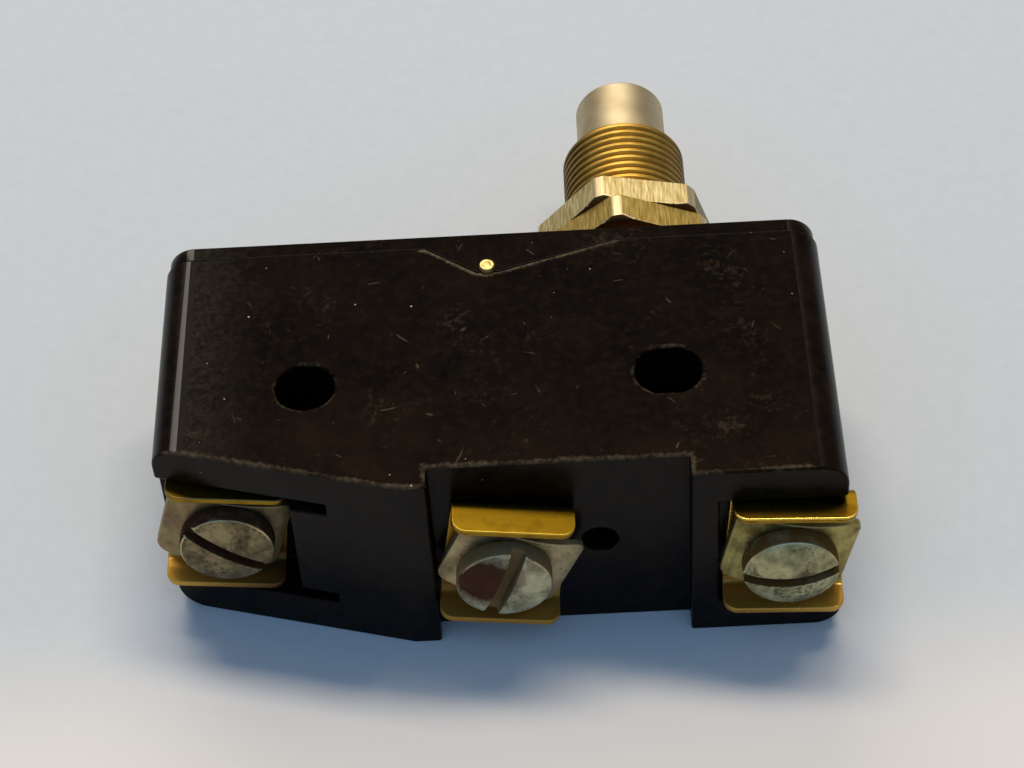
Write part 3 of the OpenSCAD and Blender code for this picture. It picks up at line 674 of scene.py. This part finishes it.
def coil(radius, wire, turns, low, high):
    """A coil of round wire about the plunger's axis, with closed ends."""
    bm = bmesh.new()
    rings = []
    count = turns * STEPS_PER_TURN
    for i in range(count + 1):
        turn = 2 * math.pi * i / STEPS_PER_TURN
        height = low + wire / 2 + (high - low - wire) * i / count
        ring = []
        for s in range(WIRE_SIDES):
            round_wire = 2 * math.pi * s / WIRE_SIDES
            r = radius + wire / 2 * math.cos(round_wire)
            level = height + wire / 2 * math.sin(round_wire)
            ring.append(bm.verts.new(on_plunger(r * math.cos(turn), level, -r * math.sin(turn))))
        rings.append(ring)
    for a, b in zip(rings, rings[1:]):
        for s in range(WIRE_SIDES):
            bm.faces.new((a[s], a[(s + 1) % WIRE_SIDES], b[(s + 1) % WIRE_SIDES], b[s]))
    bm.faces.new(rings[0])
    bm.faces.new(rings[-1])
    bmesh.ops.recalc_face_normals(bm, faces=bm.faces)
    return bm


def bare_metal(name, size, detail, first, second, dull, limits=(0, 1)):
    """A bare metal of the works, which goes from the first colour to the second and from the first
    roughness of dull to the second by a pattern of that size in mm along each axis. limits are the
    values of the pattern between which it does so."""
    made = new_finish(name)
    where = add(made, "TexCoord")["Object"]
    scaled = add(made, "Mapping", {"Vector": where, "Scale": [spots(s) for s in size]})[0]
    pattern = add(made, "TexNoise", {"Vector": scaled, "Scale": 1, "Detail": detail})["Fac"]
    share = add(made, "MapRange", {"Value": pattern, "From Min": limits[0], "From Max": limits[1]})[0]
    colour = add(made, "Mix", {0: share, 6: linear(first), 7: linear(second)}, data_type="RGBA")[2]
    roughness = add(made, "MapRange", {"Value": share, "To Min": dull[0], "To Max": dull[1]})[0]
    shader = add(made, "BsdfPrincipled", {"Base Color": colour, "Metallic": 1, "Roughness": roughness})[0]
    add(made, "OutputMaterial", {"Surface": shader})
    return made


# Hard-drawn spring wire: dark grey and oily, with brighter spots.
spring_steel = bare_metal(
    "steel_drawn_spring_wire", (0.6, 0.6, 0.6), 3, "#6f6d69", "#a3a19b", (0.28, 0.45)
)

return_spring = as_piece("return_coil", "housing", "spring_steel", coil(**RETURN_COIL), spring_steel)
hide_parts("return_spring")
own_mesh(return_spring)
overtravel_mesh = coil(**OVERTRAVEL_COIL)
overtravel_spring = as_piece("overtravel_coil", "button", "spring_steel", overtravel_mesh, spring_steel)
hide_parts("overtravel_spring")
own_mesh(overtravel_spring)


def dress(finish, *nodes):
    """Gives a finish to solids whose own shape is right."""
    for node in nodes:
        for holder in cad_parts[node].material_slots:
            holder.material = finish


dress(spring_steel, "stem_clip")


# Actuating pin
# A round-ended pin moulded from brown phenolic, which carries the button's push down to the blade
# and keeps the button clear of the live parts.

# Brown moulded phenolic: half dull, with the flour showing as paler clouds.
brown = new_finish("phenolic_brown_moulded")
where = add(brown, "TexCoord")["Object"]
flour = add(brown, "TexNoise", {"Vector": where, "Scale": spots(0.4), "Detail": 5})["Fac"]
brown_colour = add(brown, "Mix", {0: flour, 6: linear("#5a3216"), 7: linear("#8a5a30")}, data_type="RGBA")[2]
brown_bump = add(brown, "Bump", {"Strength": 0.1, "Distance": 0.02 * MM, "Height": flour})[0]
brown_skin = {"Roughness": 0.45, "IOR": PHENOLIC_IOR, "Normal": brown_bump}
brown_shader = add(brown, "BsdfPrincipled", {"Base Color": brown_colour, **brown_skin})[0]
add(brown, "OutputMaterial", {"Surface": brown_shader})
dress(brown, "actuating_pin")


# Snap blade
# A three-leaf blade pressed from rolled beryllium copper, hinged on the brass anchor at the left
# end, with a silver contact riveted to its free end.

# Rolled beryllium copper: bright and reddish, with marks of the rolls along it.
blade_copper = bare_metal(
    "beryllium_copper_rolled", (5, 1, 0.15), 3, "#a8703a", "#d29a5c", (0.25, 0.4)
)
dress(blade_copper, "snap_blade")


# Contacts
# Three rivets of fine silver, headed cold: one on the blade, and one on each fixed strip.
# The arc has left grey spots on them.

# Headed fine silver: white and bright, with dull grey spots half a millimetre across.
contact_silver = bare_metal(
    "silver_headed_rivet", (0.5, 0.5, 0.5), 4, "#dedcd4", "#77736b", (0.22, 0.55), limits=(0.5, 0.7)
)
dress(contact_silver, "moving_contact", "open_contact", "closed_contact")


# Anchor, inserts and contact strips
# Plain brass pieces moulded or pressed into the case: the blade's anchor, a threaded insert under
# each terminal, and the two strips that carry the fixed contacts.
INSERTS = ("common_insert", "open_insert", "closed_insert")
STRIPS = ("open_strip", "closed_strip")

# Pressed brass as it came from the tool: golden and half dull, clouded with brown.
inner_brass = bare_metal(
    "brass_pressed_unpolished", (1.5, 1.5, 1.5), 4, "#9a7330", "#cfa653", (0.3, 0.5)
)
dress(inner_brass, "spring_anchor", *INSERTS, *STRIPS)


# Terminal cups
# Three U-shaped cups of rolled brass sheet, bent up at top and bottom so that a wire can't slip out from
# under the screw. They have kept a smooth golden surface, duller on the lower flange, where tarnish brown is
# mixed by halves with a bright amber that is painted light. Their cut edges are rubbed paler with a painted
# highlight, which on the lower flange is mostly taken back as painted shade.
TERMINALS = ("common", "open", "closed")
CUP_EDGE = 0.09
CUP_MIDDLE = PLUNGER_AXIS[1]
# Below the middle, the edges keep this share of their painted highlight, as painted shade, and the left and
# right halves get this much tarnish and painted light: bright amber at 1, brown at 2.
SHADED_LOWER_EDGES = 0.15
LOWER_TARNISH_AND_LIGHT = {"common": (1, 2), "open": (1.6, 1.6), "closed": (1.5, 1.1)}


def sheet_brass(name, shine, edge):
    """Rolled sheet brass: deep golden and smooth, with faint marks along it and brown clouds. A point
    attribute makes it a bright amber at 1, which is painted light, and tarnish brown at 2. shine is the
    range of its roughness, and edge the colour of its cut edges, partly rubbed and partly a painted
    highlight."""
    made = new_finish(name)
    where = add(made, "TexCoord")["Object"]
    rolled = add(made, "Mapping", {"Vector": where, "Scale": (spots(6), spots(0.3), spots(0.3))})[0]
    roll_mark = add(made, "TexNoise", {"Vector": rolled, "Scale": 1, "Detail": 3})["Fac"]
    cloud = add(made, "TexNoise", {"Vector": where, "Scale": spots(1.4), "Detail": 5})["Fac"]
    cloud_share = add(made, "MapRange", {"Value": cloud, "From Min": 0.5, "From Max": 0.8})[0]
    golden = {0: roll_mark, 6: linear("#866a14"), 7: linear("#98781a")}
    sheet = add(made, "Mix", golden, data_type="RGBA")[2]
    browned = add(made, "Mix", {0: cloud_share, 6: sheet, 7: linear("#6b4a10")}, data_type="RGBA")[2]
    # The lower flange: a bright amber at 1, which is painted light, and tarnish brown at 2.
    tarnish_and_light = add(made, "Attribute", attribute_name="tarnish_and_light")["Fac"]
    painted_light_amber = add(made, "Mix", {0: tarnish_and_light, 6: browned, 7: linear("#d8a242")}, data_type="RGBA")[2]
    deeper = add(made, "Math", {0: tarnish_and_light, 1: 1}, operation="SUBTRACT", use_clamp=True)[0]
    aged = add(made, "Mix", {0: deeper, 6: painted_light_amber, 7: linear("#6a4a22")}, data_type="RGBA")[2]
    # Cut edges: paler where rubbed, and partly a painted highlight.
    edge_wear_and_highlight = add(made, "Attribute", attribute_name="rubbed")["Fac"]
    colour = add(made, "Mix", {0: edge_wear_and_highlight, 6: aged, 7: linear(edge)}, data_type="RGBA")[2]
    metal = add(made, "MapRange", {"Value": tarnish_and_light, "To Min": 1, "To Max": 0.55})[0]
    dull = add(made, "MapRange", {"Value": cloud, "To Min": shine[0], "To Max": shine[1]})[0]
    marks = add(made, "Bump", {"Strength": 0.06, "Distance": 0.03 * MM, "Height": roll_mark})[0]
    sheen = {"Metallic": metal, "Roughness": dull, "Normal": marks, "Specular IOR Level": 0.2}
    shader = add(made, "BsdfPrincipled", {"Base Color": colour, **sheen})[0]
    add(made, "OutputMaterial", {"Surface": shader})
    return made


# The left cup has dull edges, and the right one edges that are rubbed bright, with a painted highlight on
# them.
CUP_BRASSES = {
    "common": sheet_brass("brass_rolled_sheet_dull", (0.3, 0.45), "#86703c"),
    "open": sheet_brass("brass_rolled_sheet", (0.34, 0.5), "#c8a23e"),
    "closed": sheet_brass("brass_rolled_sheet_bright", (0.2, 0.32), "#f2cf64"),
}
for terminal in TERMINALS:
    cup_mesh = eased(terminal + "_cup", CUP_EDGE)
    tarnish_and_light = cup_mesh.verts.layers.float.new("tarnish_and_light")
    bright = cup_mesh.faces.layers.float["rubbed"]
    middle = sum(corner[0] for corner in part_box(terminal + "_cup")) / 2
    # Painted light and tarnish on the lower flange, half by half.
    for v in cup_mesh.verts:
        if v.co.z < CUP_MIDDLE * MM:
            v[tarnish_and_light] = LOWER_TARNISH_AND_LIGHT[terminal][0 if v.co.x < middle else 1]
    # Painted shade: the edges below the middle lose most of their painted highlight.
    for face in cup_mesh.faces:
        if face.calc_center_median().z < CUP_MIDDLE * MM:
            face[bright] *= SHADED_LOWER_EDGES
    cup = as_piece(terminal + "_sheet_cup", "housing", "cup_brass", cup_mesh, CUP_BRASSES[terminal])
    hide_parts(terminal + "_cup")


# Clamp washers
# Three bowed squares of plated steel that press the wire into the cup. They turn with the screw,
# so each lies askew, and their plating is stained and dull.
WASHER_EDGE = 0.1


def plated_washer(name, bright, dull, brown):
    """Old zinc plate: dull, clouded from bright to dull, with brown stains, fine pits and rubbed edges."""
    made = new_finish(name)
    where = add(made, "TexCoord")["Object"]
    cloud = add(
        made, "TexNoise", {"Vector": where, "Scale": spots(1.8), "Detail": 5, "Roughness": 0.62}
    )["Fac"]
    cloud_share = add(made, "MapRange", {"Value": cloud, "From Min": 0.4, "From Max": 0.64})[0]
    plate = add(made, "Mix", {0: cloud_share, 6: linear(bright), 7: linear(dull)}, data_type="RGBA")[2]
    stain = add(
        made, "TexNoise", {"Vector": where, "Scale": spots(2.6), "Detail": 6, "Roughness": 0.68}
    )["Fac"]
    stain_share = add(
        made, "MapRange", {"Value": stain, "From Min": 0.5, "From Max": 0.68, "To Max": 0.85}
    )[0]
    stained = add(made, "Mix", {0: stain_share, 6: plate, 7: linear(brown)}, data_type="RGBA")[2]
    pit = add(made, "TexNoise", {"Vector": where, "Scale": spots(0.25), "Detail": 3})["Fac"]
    pit_share = add(made, "MapRange", {"Value": pit, "From Min": 0.6, "From Max": 0.75, "To Max": 0.7})[0]
    pitted = add(made, "Mix", {0: pit_share, 6: stained, 7: linear("#453826")}, data_type="RGBA")[2]
    rubbed = add(made, "Attribute", attribute_name="rubbed")["Fac"]
    rubbed_share = add(made, "Math", {0: rubbed, 1: 0.3}, operation="MULTIPLY")[0]
    colour = add(made, "Mix", {0: rubbed_share, 6: pitted, 7: linear("#cbb688")}, data_type="RGBA")[2]
    dullness = add(made, "MapRange", {"Value": stain, "To Min": 0.4, "To Max": 0.65})[0]
    rough = add(made, "Bump", {"Strength": 0.15, "Distance": 0.03 * MM, "Height": pit})[0]
    sheen = {"Metallic": 0.85, "Roughness": dullness, "Normal": rough, "Specular IOR Level": 0.2}
    shader = add(made, "BsdfPrincipled", {"Base Color": colour, **sheen})[0]
    add(made, "OutputMaterial", {"Surface": shader})
    return made


# The left washer is browned, the middle one the cleanest, and the right one has a yellow-green cast.
WASHER_PLATES = {
    "common": plated_washer("zinc_plated_steel_browned", "#9c8c62", "#78664a", "#9c765e"),
    "open": plated_washer("zinc_plated_steel_stained", "#b8a880", "#94815e", "#6e5b3c"),
    "closed": plated_washer("zinc_plated_steel_yellowed", "#b4aa68", "#8a7e46", "#57472a"),
}
for terminal in TERMINALS:
    washer_mesh = eased(terminal + "_washer", WASHER_EDGE)
    plate = WASHER_PLATES[terminal]
    washer = as_piece(terminal + "_bowed_washer", "housing", "dull_steel", washer_mesh, plate)
    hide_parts(terminal + "_washer")


# Terminal screws
# Three slotted screws with low domed heads, headed from plated steel wire. The plating has gone
# grey-green and pitted, and rust has broken through on the middle head, left of its slot.
SCREW_EDGE = 0.16
HEAD_RADIUS = 3.35
RIM_WIDTH = 0.3
BELOW_CROWN = 0.5
# The part of a face's normal along the screw, on the slot's floor and on the last of the domed faces.
SLOT_FLOOR, DOME = -0.99, -0.3
RUST_PLACE = (-0.75, -11.9, 9.55)
RUST_SIZE = 2.7
# The parts of the rust's size between which it fades, and how far its limit strays.
RUST_FADE = (0.65, 1.1)
RUST_RAGGED = 1.6
NO_RUST = 0.01
# How pale the rubbed rim gets at most, which is partly a painted highlight.
RIM_WORN_AND_HIGHLIT = 0.8


def plated_screw(name, bright, dull, soil_and_shade_tone, rust_size):
    """Old zinc plate on a screw head: clouded from bright to dull, with dark pits, a rim that is rubbed
    bright in parts, its paler colour there partly a painted highlight, rust within rust_size mm of its
    place, and dark brown on the faces that a face attribute marks, which is soil and painted shade both."""
    made = new_finish(name)
    where = add(made, "TexCoord")["Object"]
    cloud = add(
        made, "TexNoise", {"Vector": where, "Scale": spots(1.6), "Detail": 6, "Roughness": 0.66}
    )["Fac"]
    cloud_share = add(made, "MapRange", {"Value": cloud, "From Min": 0.4, "From Max": 0.62})[0]
    plate = add(made, "Mix", {0: cloud_share, 6: linear(bright), 7: linear(dull)}, data_type="RGBA")[2]
    pit = add(made, "TexNoise", {"Vector": where, "Scale": spots(0.3), "Detail": 4})["Fac"]
    patch = add(made, "TexNoise", {"Vector": where, "Scale": spots(2.2), "Detail": 2})["Fac"]
    pit_sum = add(made, "Math", {0: pit, 1: patch}, operation="ADD")[0]
    pit_share = add(
        made, "MapRange", {"Value": pit_sum, "From Min": 1.06, "From Max": 1.26, "To Max": 0.8}
    )[0]
    pitted = add(made, "Mix", {0: pit_share, 6: plate, 7: linear("#3f382a")}, data_type="RGBA")[2]
    # The rim is paler where it is rubbed bare, which is partly a painted highlight.
    rubbed = add(made, "Attribute", attribute_name="rubbed")["Fac"]
    bared_and_highlit = add(
        made, "MapRange", {"Value": patch, "From Min": 0.36, "From Max": 0.56, "To Max": RIM_WORN_AND_HIGHLIT}
    )[0]
    rubbed_share = add(made, "Math", {0: rubbed, 1: bared_and_highlit}, operation="MULTIPLY")[0]
    edged = add(made, "Mix", {0: rubbed_share, 6: pitted, 7: linear("#c4b68c")}, data_type="RGBA")[2]
    # The rust has a ragged limit and stops short of the rubbed rim.
    ragged = add(
        made, "TexNoise", {"Vector": where, "Scale": spots(0.7), "Detail": 5, "Roughness": 0.65}
    )["Color"]
    spread = add(made, "VectorMath", {0: ragged, 1: (0.5, 0.5, 0.5)}, operation="SUBTRACT")[0]
    spread_by = add(made, "VectorMath", {0: spread, 3: RUST_RAGGED * MM}, operation="SCALE")[0]
    astray = add(made, "VectorMath", {0: where, 1: spread_by}, operation="ADD")[0]
    off = add(made, "VectorMath", {0: astray, 1: Vector(RUST_PLACE) * MM}, operation="DISTANCE")["Value"]
    fade_from, fade_to = (rust_size * part * MM for part in RUST_FADE)
    rust_patch = add(
        made, "MapRange",
        {"Value": off, "From Min": fade_from, "From Max": fade_to, "To Min": 1, "To Max": 0},
    )[0]
    rim_clear = add(
        made, "MapRange", {"Value": rubbed_share, "From Max": RIM_WORN_AND_HIGHLIT, "To Min": 1, "To Max": 0.3}
    )[0]
    rust = add(made, "Math", {0: rust_patch, 1: rim_clear}, operation="MULTIPLY")[0]
    browns = {0: cloud, 6: linear("#2c1810"), 7: linear("#5a3a28")}
    rust_colour = add(made, "Mix", browns, data_type="RGBA")[2]
    rusted = add(made, "Mix", {0: rust, 6: edged, 7: rust_colour}, data_type="RGBA")[2]
    # Soil and painted shade: dark brown on the head's sides and in its slot.
    soil_and_shade = add(made, "Attribute", attribute_name="soil_and_shade")["Fac"]
    soil_and_shade_share = add(made, "MapRange", {"Value": cloud, "From Min": 0.2, "From Max": 0.5, "To Min": 0.6})[0]
    soil_and_shade_here = add(made, "Math", {0: soil_and_shade, 1: soil_and_shade_share}, operation="MULTIPLY")[0]
    colour = add(made, "Mix", {0: soil_and_shade_here, 6: rusted, 7: linear(soil_and_shade_tone)}, data_type="RGBA")[2]
    covered = add(made, "Math", {0: rust, 1: soil_and_shade_here}, operation="MAXIMUM")[0]
    metal = add(made, "MapRange", {"Value": covered, "To Min": 0.85, "To Max": 0})[0]
    plate_dull = add(made, "MapRange", {"Value": cloud, "To Min": 0.42, "To Max": 0.6})[0]
    edge_shine = add(made, "MapRange", {"Value": rubbed_share, "From Max": RIM_WORN_AND_HIGHLIT, "To Max": 0.26})[0]
    edge_dull = add(made, "Math", {0: plate_dull, 1: edge_shine}, operation="SUBTRACT")[0]
    dullness = add(made, "Math", {0: edge_dull, 1: covered}, operation="MAXIMUM")[0]
    rough = add(made, "Bump", {"Strength": 0.2, "Distance": 0.04 * MM, "Height": pit})[0]
    sheen = {"Metallic": metal, "Roughness": dullness, "Normal": rough, "Specular IOR Level": 0.08}
    shader = add(made, "BsdfPrincipled", {"Base Color": colour, **sheen})[0]
    add(made, "OutputMaterial", {"Surface": shader})
    return made


# The left head is the darkest, the middle one grey and rusted, and the right one the greenest.
SCREW_PLATES = {
    "common": plated_screw("zinc_plated_steel_dull", "#988b66", "#62563e", "#3f2919", NO_RUST),
    "open": plated_screw("zinc_plated_steel_rusted", "#bcbc9e", "#868268", "#74603f", RUST_SIZE),
    "closed": plated_screw("zinc_plated_steel_green", "#bab88c", "#82805e", "#664822", NO_RUST),
}


def inside_rim(p, axis):
    """Is a point in mm nearer to a screw's axis than the rim of its head, where the slot's edges are?"""
    return (p.xz - axis).length < HEAD_RADIUS - RIM_WIDTH


for terminal in TERMINALS:
    low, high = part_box(terminal + "_screw")
    axis = Vector((low[0] + high[0], low[2] + high[2])) / 2 / MM
    screw_mesh = eased(terminal + "_screw", SCREW_EDGE, lambda p: inside_rim(p, axis))
    soil_and_shade = screw_mesh.faces.layers.float.new("soil_and_shade")
    rubbed = screw_mesh.faces.layers.float["rubbed"]
    # Soil that is also painted shade lies on the head's sides and on the slot's floor, and on rounded strips
    # between such faces.
    for face in screw_mesh.faces:
        below_crown = face.calc_center_median().y > low[1] + BELOW_CROWN * MM
        in_slot = face.normal.y < SLOT_FLOOR and below_crown
        face[soil_and_shade] = 1 if face.normal.y > DOME or in_slot else 0
    for face in screw_mesh.faces:
        beside = [f for e in face.edges for f in e.link_faces if not f[rubbed]]
        if face[rubbed] and beside and all(f[soil_and_shade] for f in beside):
            face[soil_and_shade] = 1
    for face in screw_mesh.faces:
        if inside_rim(face.calc_center_median() / MM, axis):
            face[rubbed] = 0
    plate = SCREW_PLATES[terminal]
    screw = as_piece(terminal + "_slotted_screw", "housing", "dull_steel", screw_mesh, plate)
    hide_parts(terminal + "_screw")


# Floor
# A pale table top of grained laminate, on which the switch lies on its side face. It is no part of
# the switch, and wide enough to fill the picture.

# Half its width in metres, and where along Y in mm its painted light begins and is strongest.
FLOOR_HALF = 0.5
PAINTED_LIGHT_FRONT = (-4, -21)
FLOOR_CORNERS = ((-1, -1), (1, -1), (1, 1), (-1, 1))

# Grained laminate: dull and cool grey, with painted light that makes it paler and warmer in front of the
# switch.
laminate = new_finish("pale_grained_laminate")
where = add(laminate, "TexCoord")["Object"]
grain = add(laminate, "TexNoise", {"Vector": where, "Scale": spots(1.2), "Detail": 2})["Fac"]
greys = {0: grain, 6: linear("#c3c9cd"), 7: linear("#ccd1d5")}
grained = add(laminate, "Mix", greys, data_type="RGBA")[2]
nearness = add(laminate, "SeparateXYZ", {0: where})["Y"]
painted_light_share = add(
    laminate, "MapRange",
    {"Value": nearness, "From Min": PAINTED_LIGHT_FRONT[0] * MM, "From Max": PAINTED_LIGHT_FRONT[1] * MM},
    interpolation_type="SMOOTHSTEP",
)[0]
floor_colour = add(laminate, "Mix", {0: painted_light_share, 6: grained, 7: linear("#e6e1db")}, data_type="RGBA")[2]
grain_bump = add(laminate, "Bump", {"Strength": 0.08, "Distance": 0.05 * MM, "Height": grain})[0]
floor_shader = add(
    laminate, "BsdfPrincipled", {"Base Color": floor_colour, "Roughness": 0.65, "Normal": grain_bump}
)[0]
add(laminate, "OutputMaterial", {"Surface": floor_shader})

bm = bmesh.new()
bm.faces.new([bm.verts.new((x * FLOOR_HALF, y * FLOOR_HALF, 0)) for x, y in FLOOR_CORNERS])
floor_mesh = bpy.data.meshes.new("floor")
bm.to_mesh(floor_mesh)
bm.free()
floor_mesh.materials.append(laminate)
floor = bpy.data.objects.new("floor", floor_mesh)
bpy.context.scene.collection.objects.link(floor)


# Light
# A warm soft lamp high up behind the switch, a wide pale card behind it that the metal mirrors, and
# a dim room that is cool in front, where the shadow falls.
LAMP_DISTANCE = 1
# The parts of a direction along Y and along Z between which the room turns cool.
FRONT = (0.1, -0.35)
OVERHEAD = (0.25, 0.55)


def lamp(name, azimuth, elevation, width, height, watts, colour):
    """A rectangular soft lamp, sized in metres, that faces the switch. Azimuth is from the button's way
    out, towards +X."""
    data = bpy.data.lights.new(name, "AREA")
    data.shape = "RECTANGLE"
    data.size, data.size_y = width, height
    data.energy = watts
    data.color = linear(colour)[:3]
    made = bpy.data.objects.new(name, data)
    turn, rise = math.radians(azimuth), math.radians(elevation)
    level = math.cos(rise)
    way = Vector((level * math.sin(turn), level * math.cos(turn), math.sin(rise)))
    made.location = way * LAMP_DISTANCE
    made.rotation_euler = way.to_track_quat("Z", "Y").to_euler()
    bpy.context.scene.collection.objects.link(made)


lamp("key_lamp", azimuth=12, elevation=72, width=0.7, height=0.16, watts=6.4, colour="#fff1dd")
lamp("back_card", azimuth=-10, elevation=37, width=0.7, height=0.75, watts=3.3, colour="#fff4e4")

world = bpy.data.worlds.new("studio")
bpy.context.scene.world = world
world.use_nodes = True
world.node_tree.nodes.clear()
way = add(world, "SeparateXYZ", {0: add(world, "TexCoord")["Generated"]})
in_front = add(
    world, "MapRange", {"Value": way["Y"], "From Min": FRONT[0], "From Max": FRONT[1]},
    interpolation_type="SMOOTHSTEP",
)[0]
overhead = add(
    world, "MapRange", {"Value": way["Z"], "From Min": OVERHEAD[0], "From Max": OVERHEAD[1]},
    interpolation_type="SMOOTHSTEP",
)[0]
cool_share = add(world, "Math", {0: in_front, 1: overhead}, operation="MULTIPLY")[0]
room = add(world, "Mix", {0: cool_share, 6: linear("#6c6965"), 7: linear("#8ebaea")}, data_type="RGBA")[2]
add(world, "OutputWorld", {"Surface": add(world, "Background", {"Color": room, "Strength": 1})[0]})


# Camera
# It stands where the photograph was taken from: above the terminal side, looking down at 48 degrees.
# Its place, its turn in degrees and its lens were fitted to the photograph.
CAMERA_AT = (5.559, -126.485, 157.815)
CAMERA_TURN = (41.812, 2.738, -1.339)
CAMERA_LENS = 95.3
CAMERA_SENSOR = 36
CAMERA_NEAR = 0.005

camera_data = bpy.data.cameras.new("photo_camera")
camera_data.sensor_width = CAMERA_SENSOR
camera_data.lens = CAMERA_LENS
camera_data.clip_start = CAMERA_NEAR
camera = bpy.data.objects.new("photo_camera", camera_data)
turn = Euler([math.radians(angle) for angle in CAMERA_TURN])
camera.matrix_world = Matrix.LocRotScale(Vector(CAMERA_AT) * MM, turn, None)
bpy.context.scene.collection.objects.link(camera)
bpy.context.scene.camera = camera
bpy.context.scene.view_settings.view_transform = "Standard"
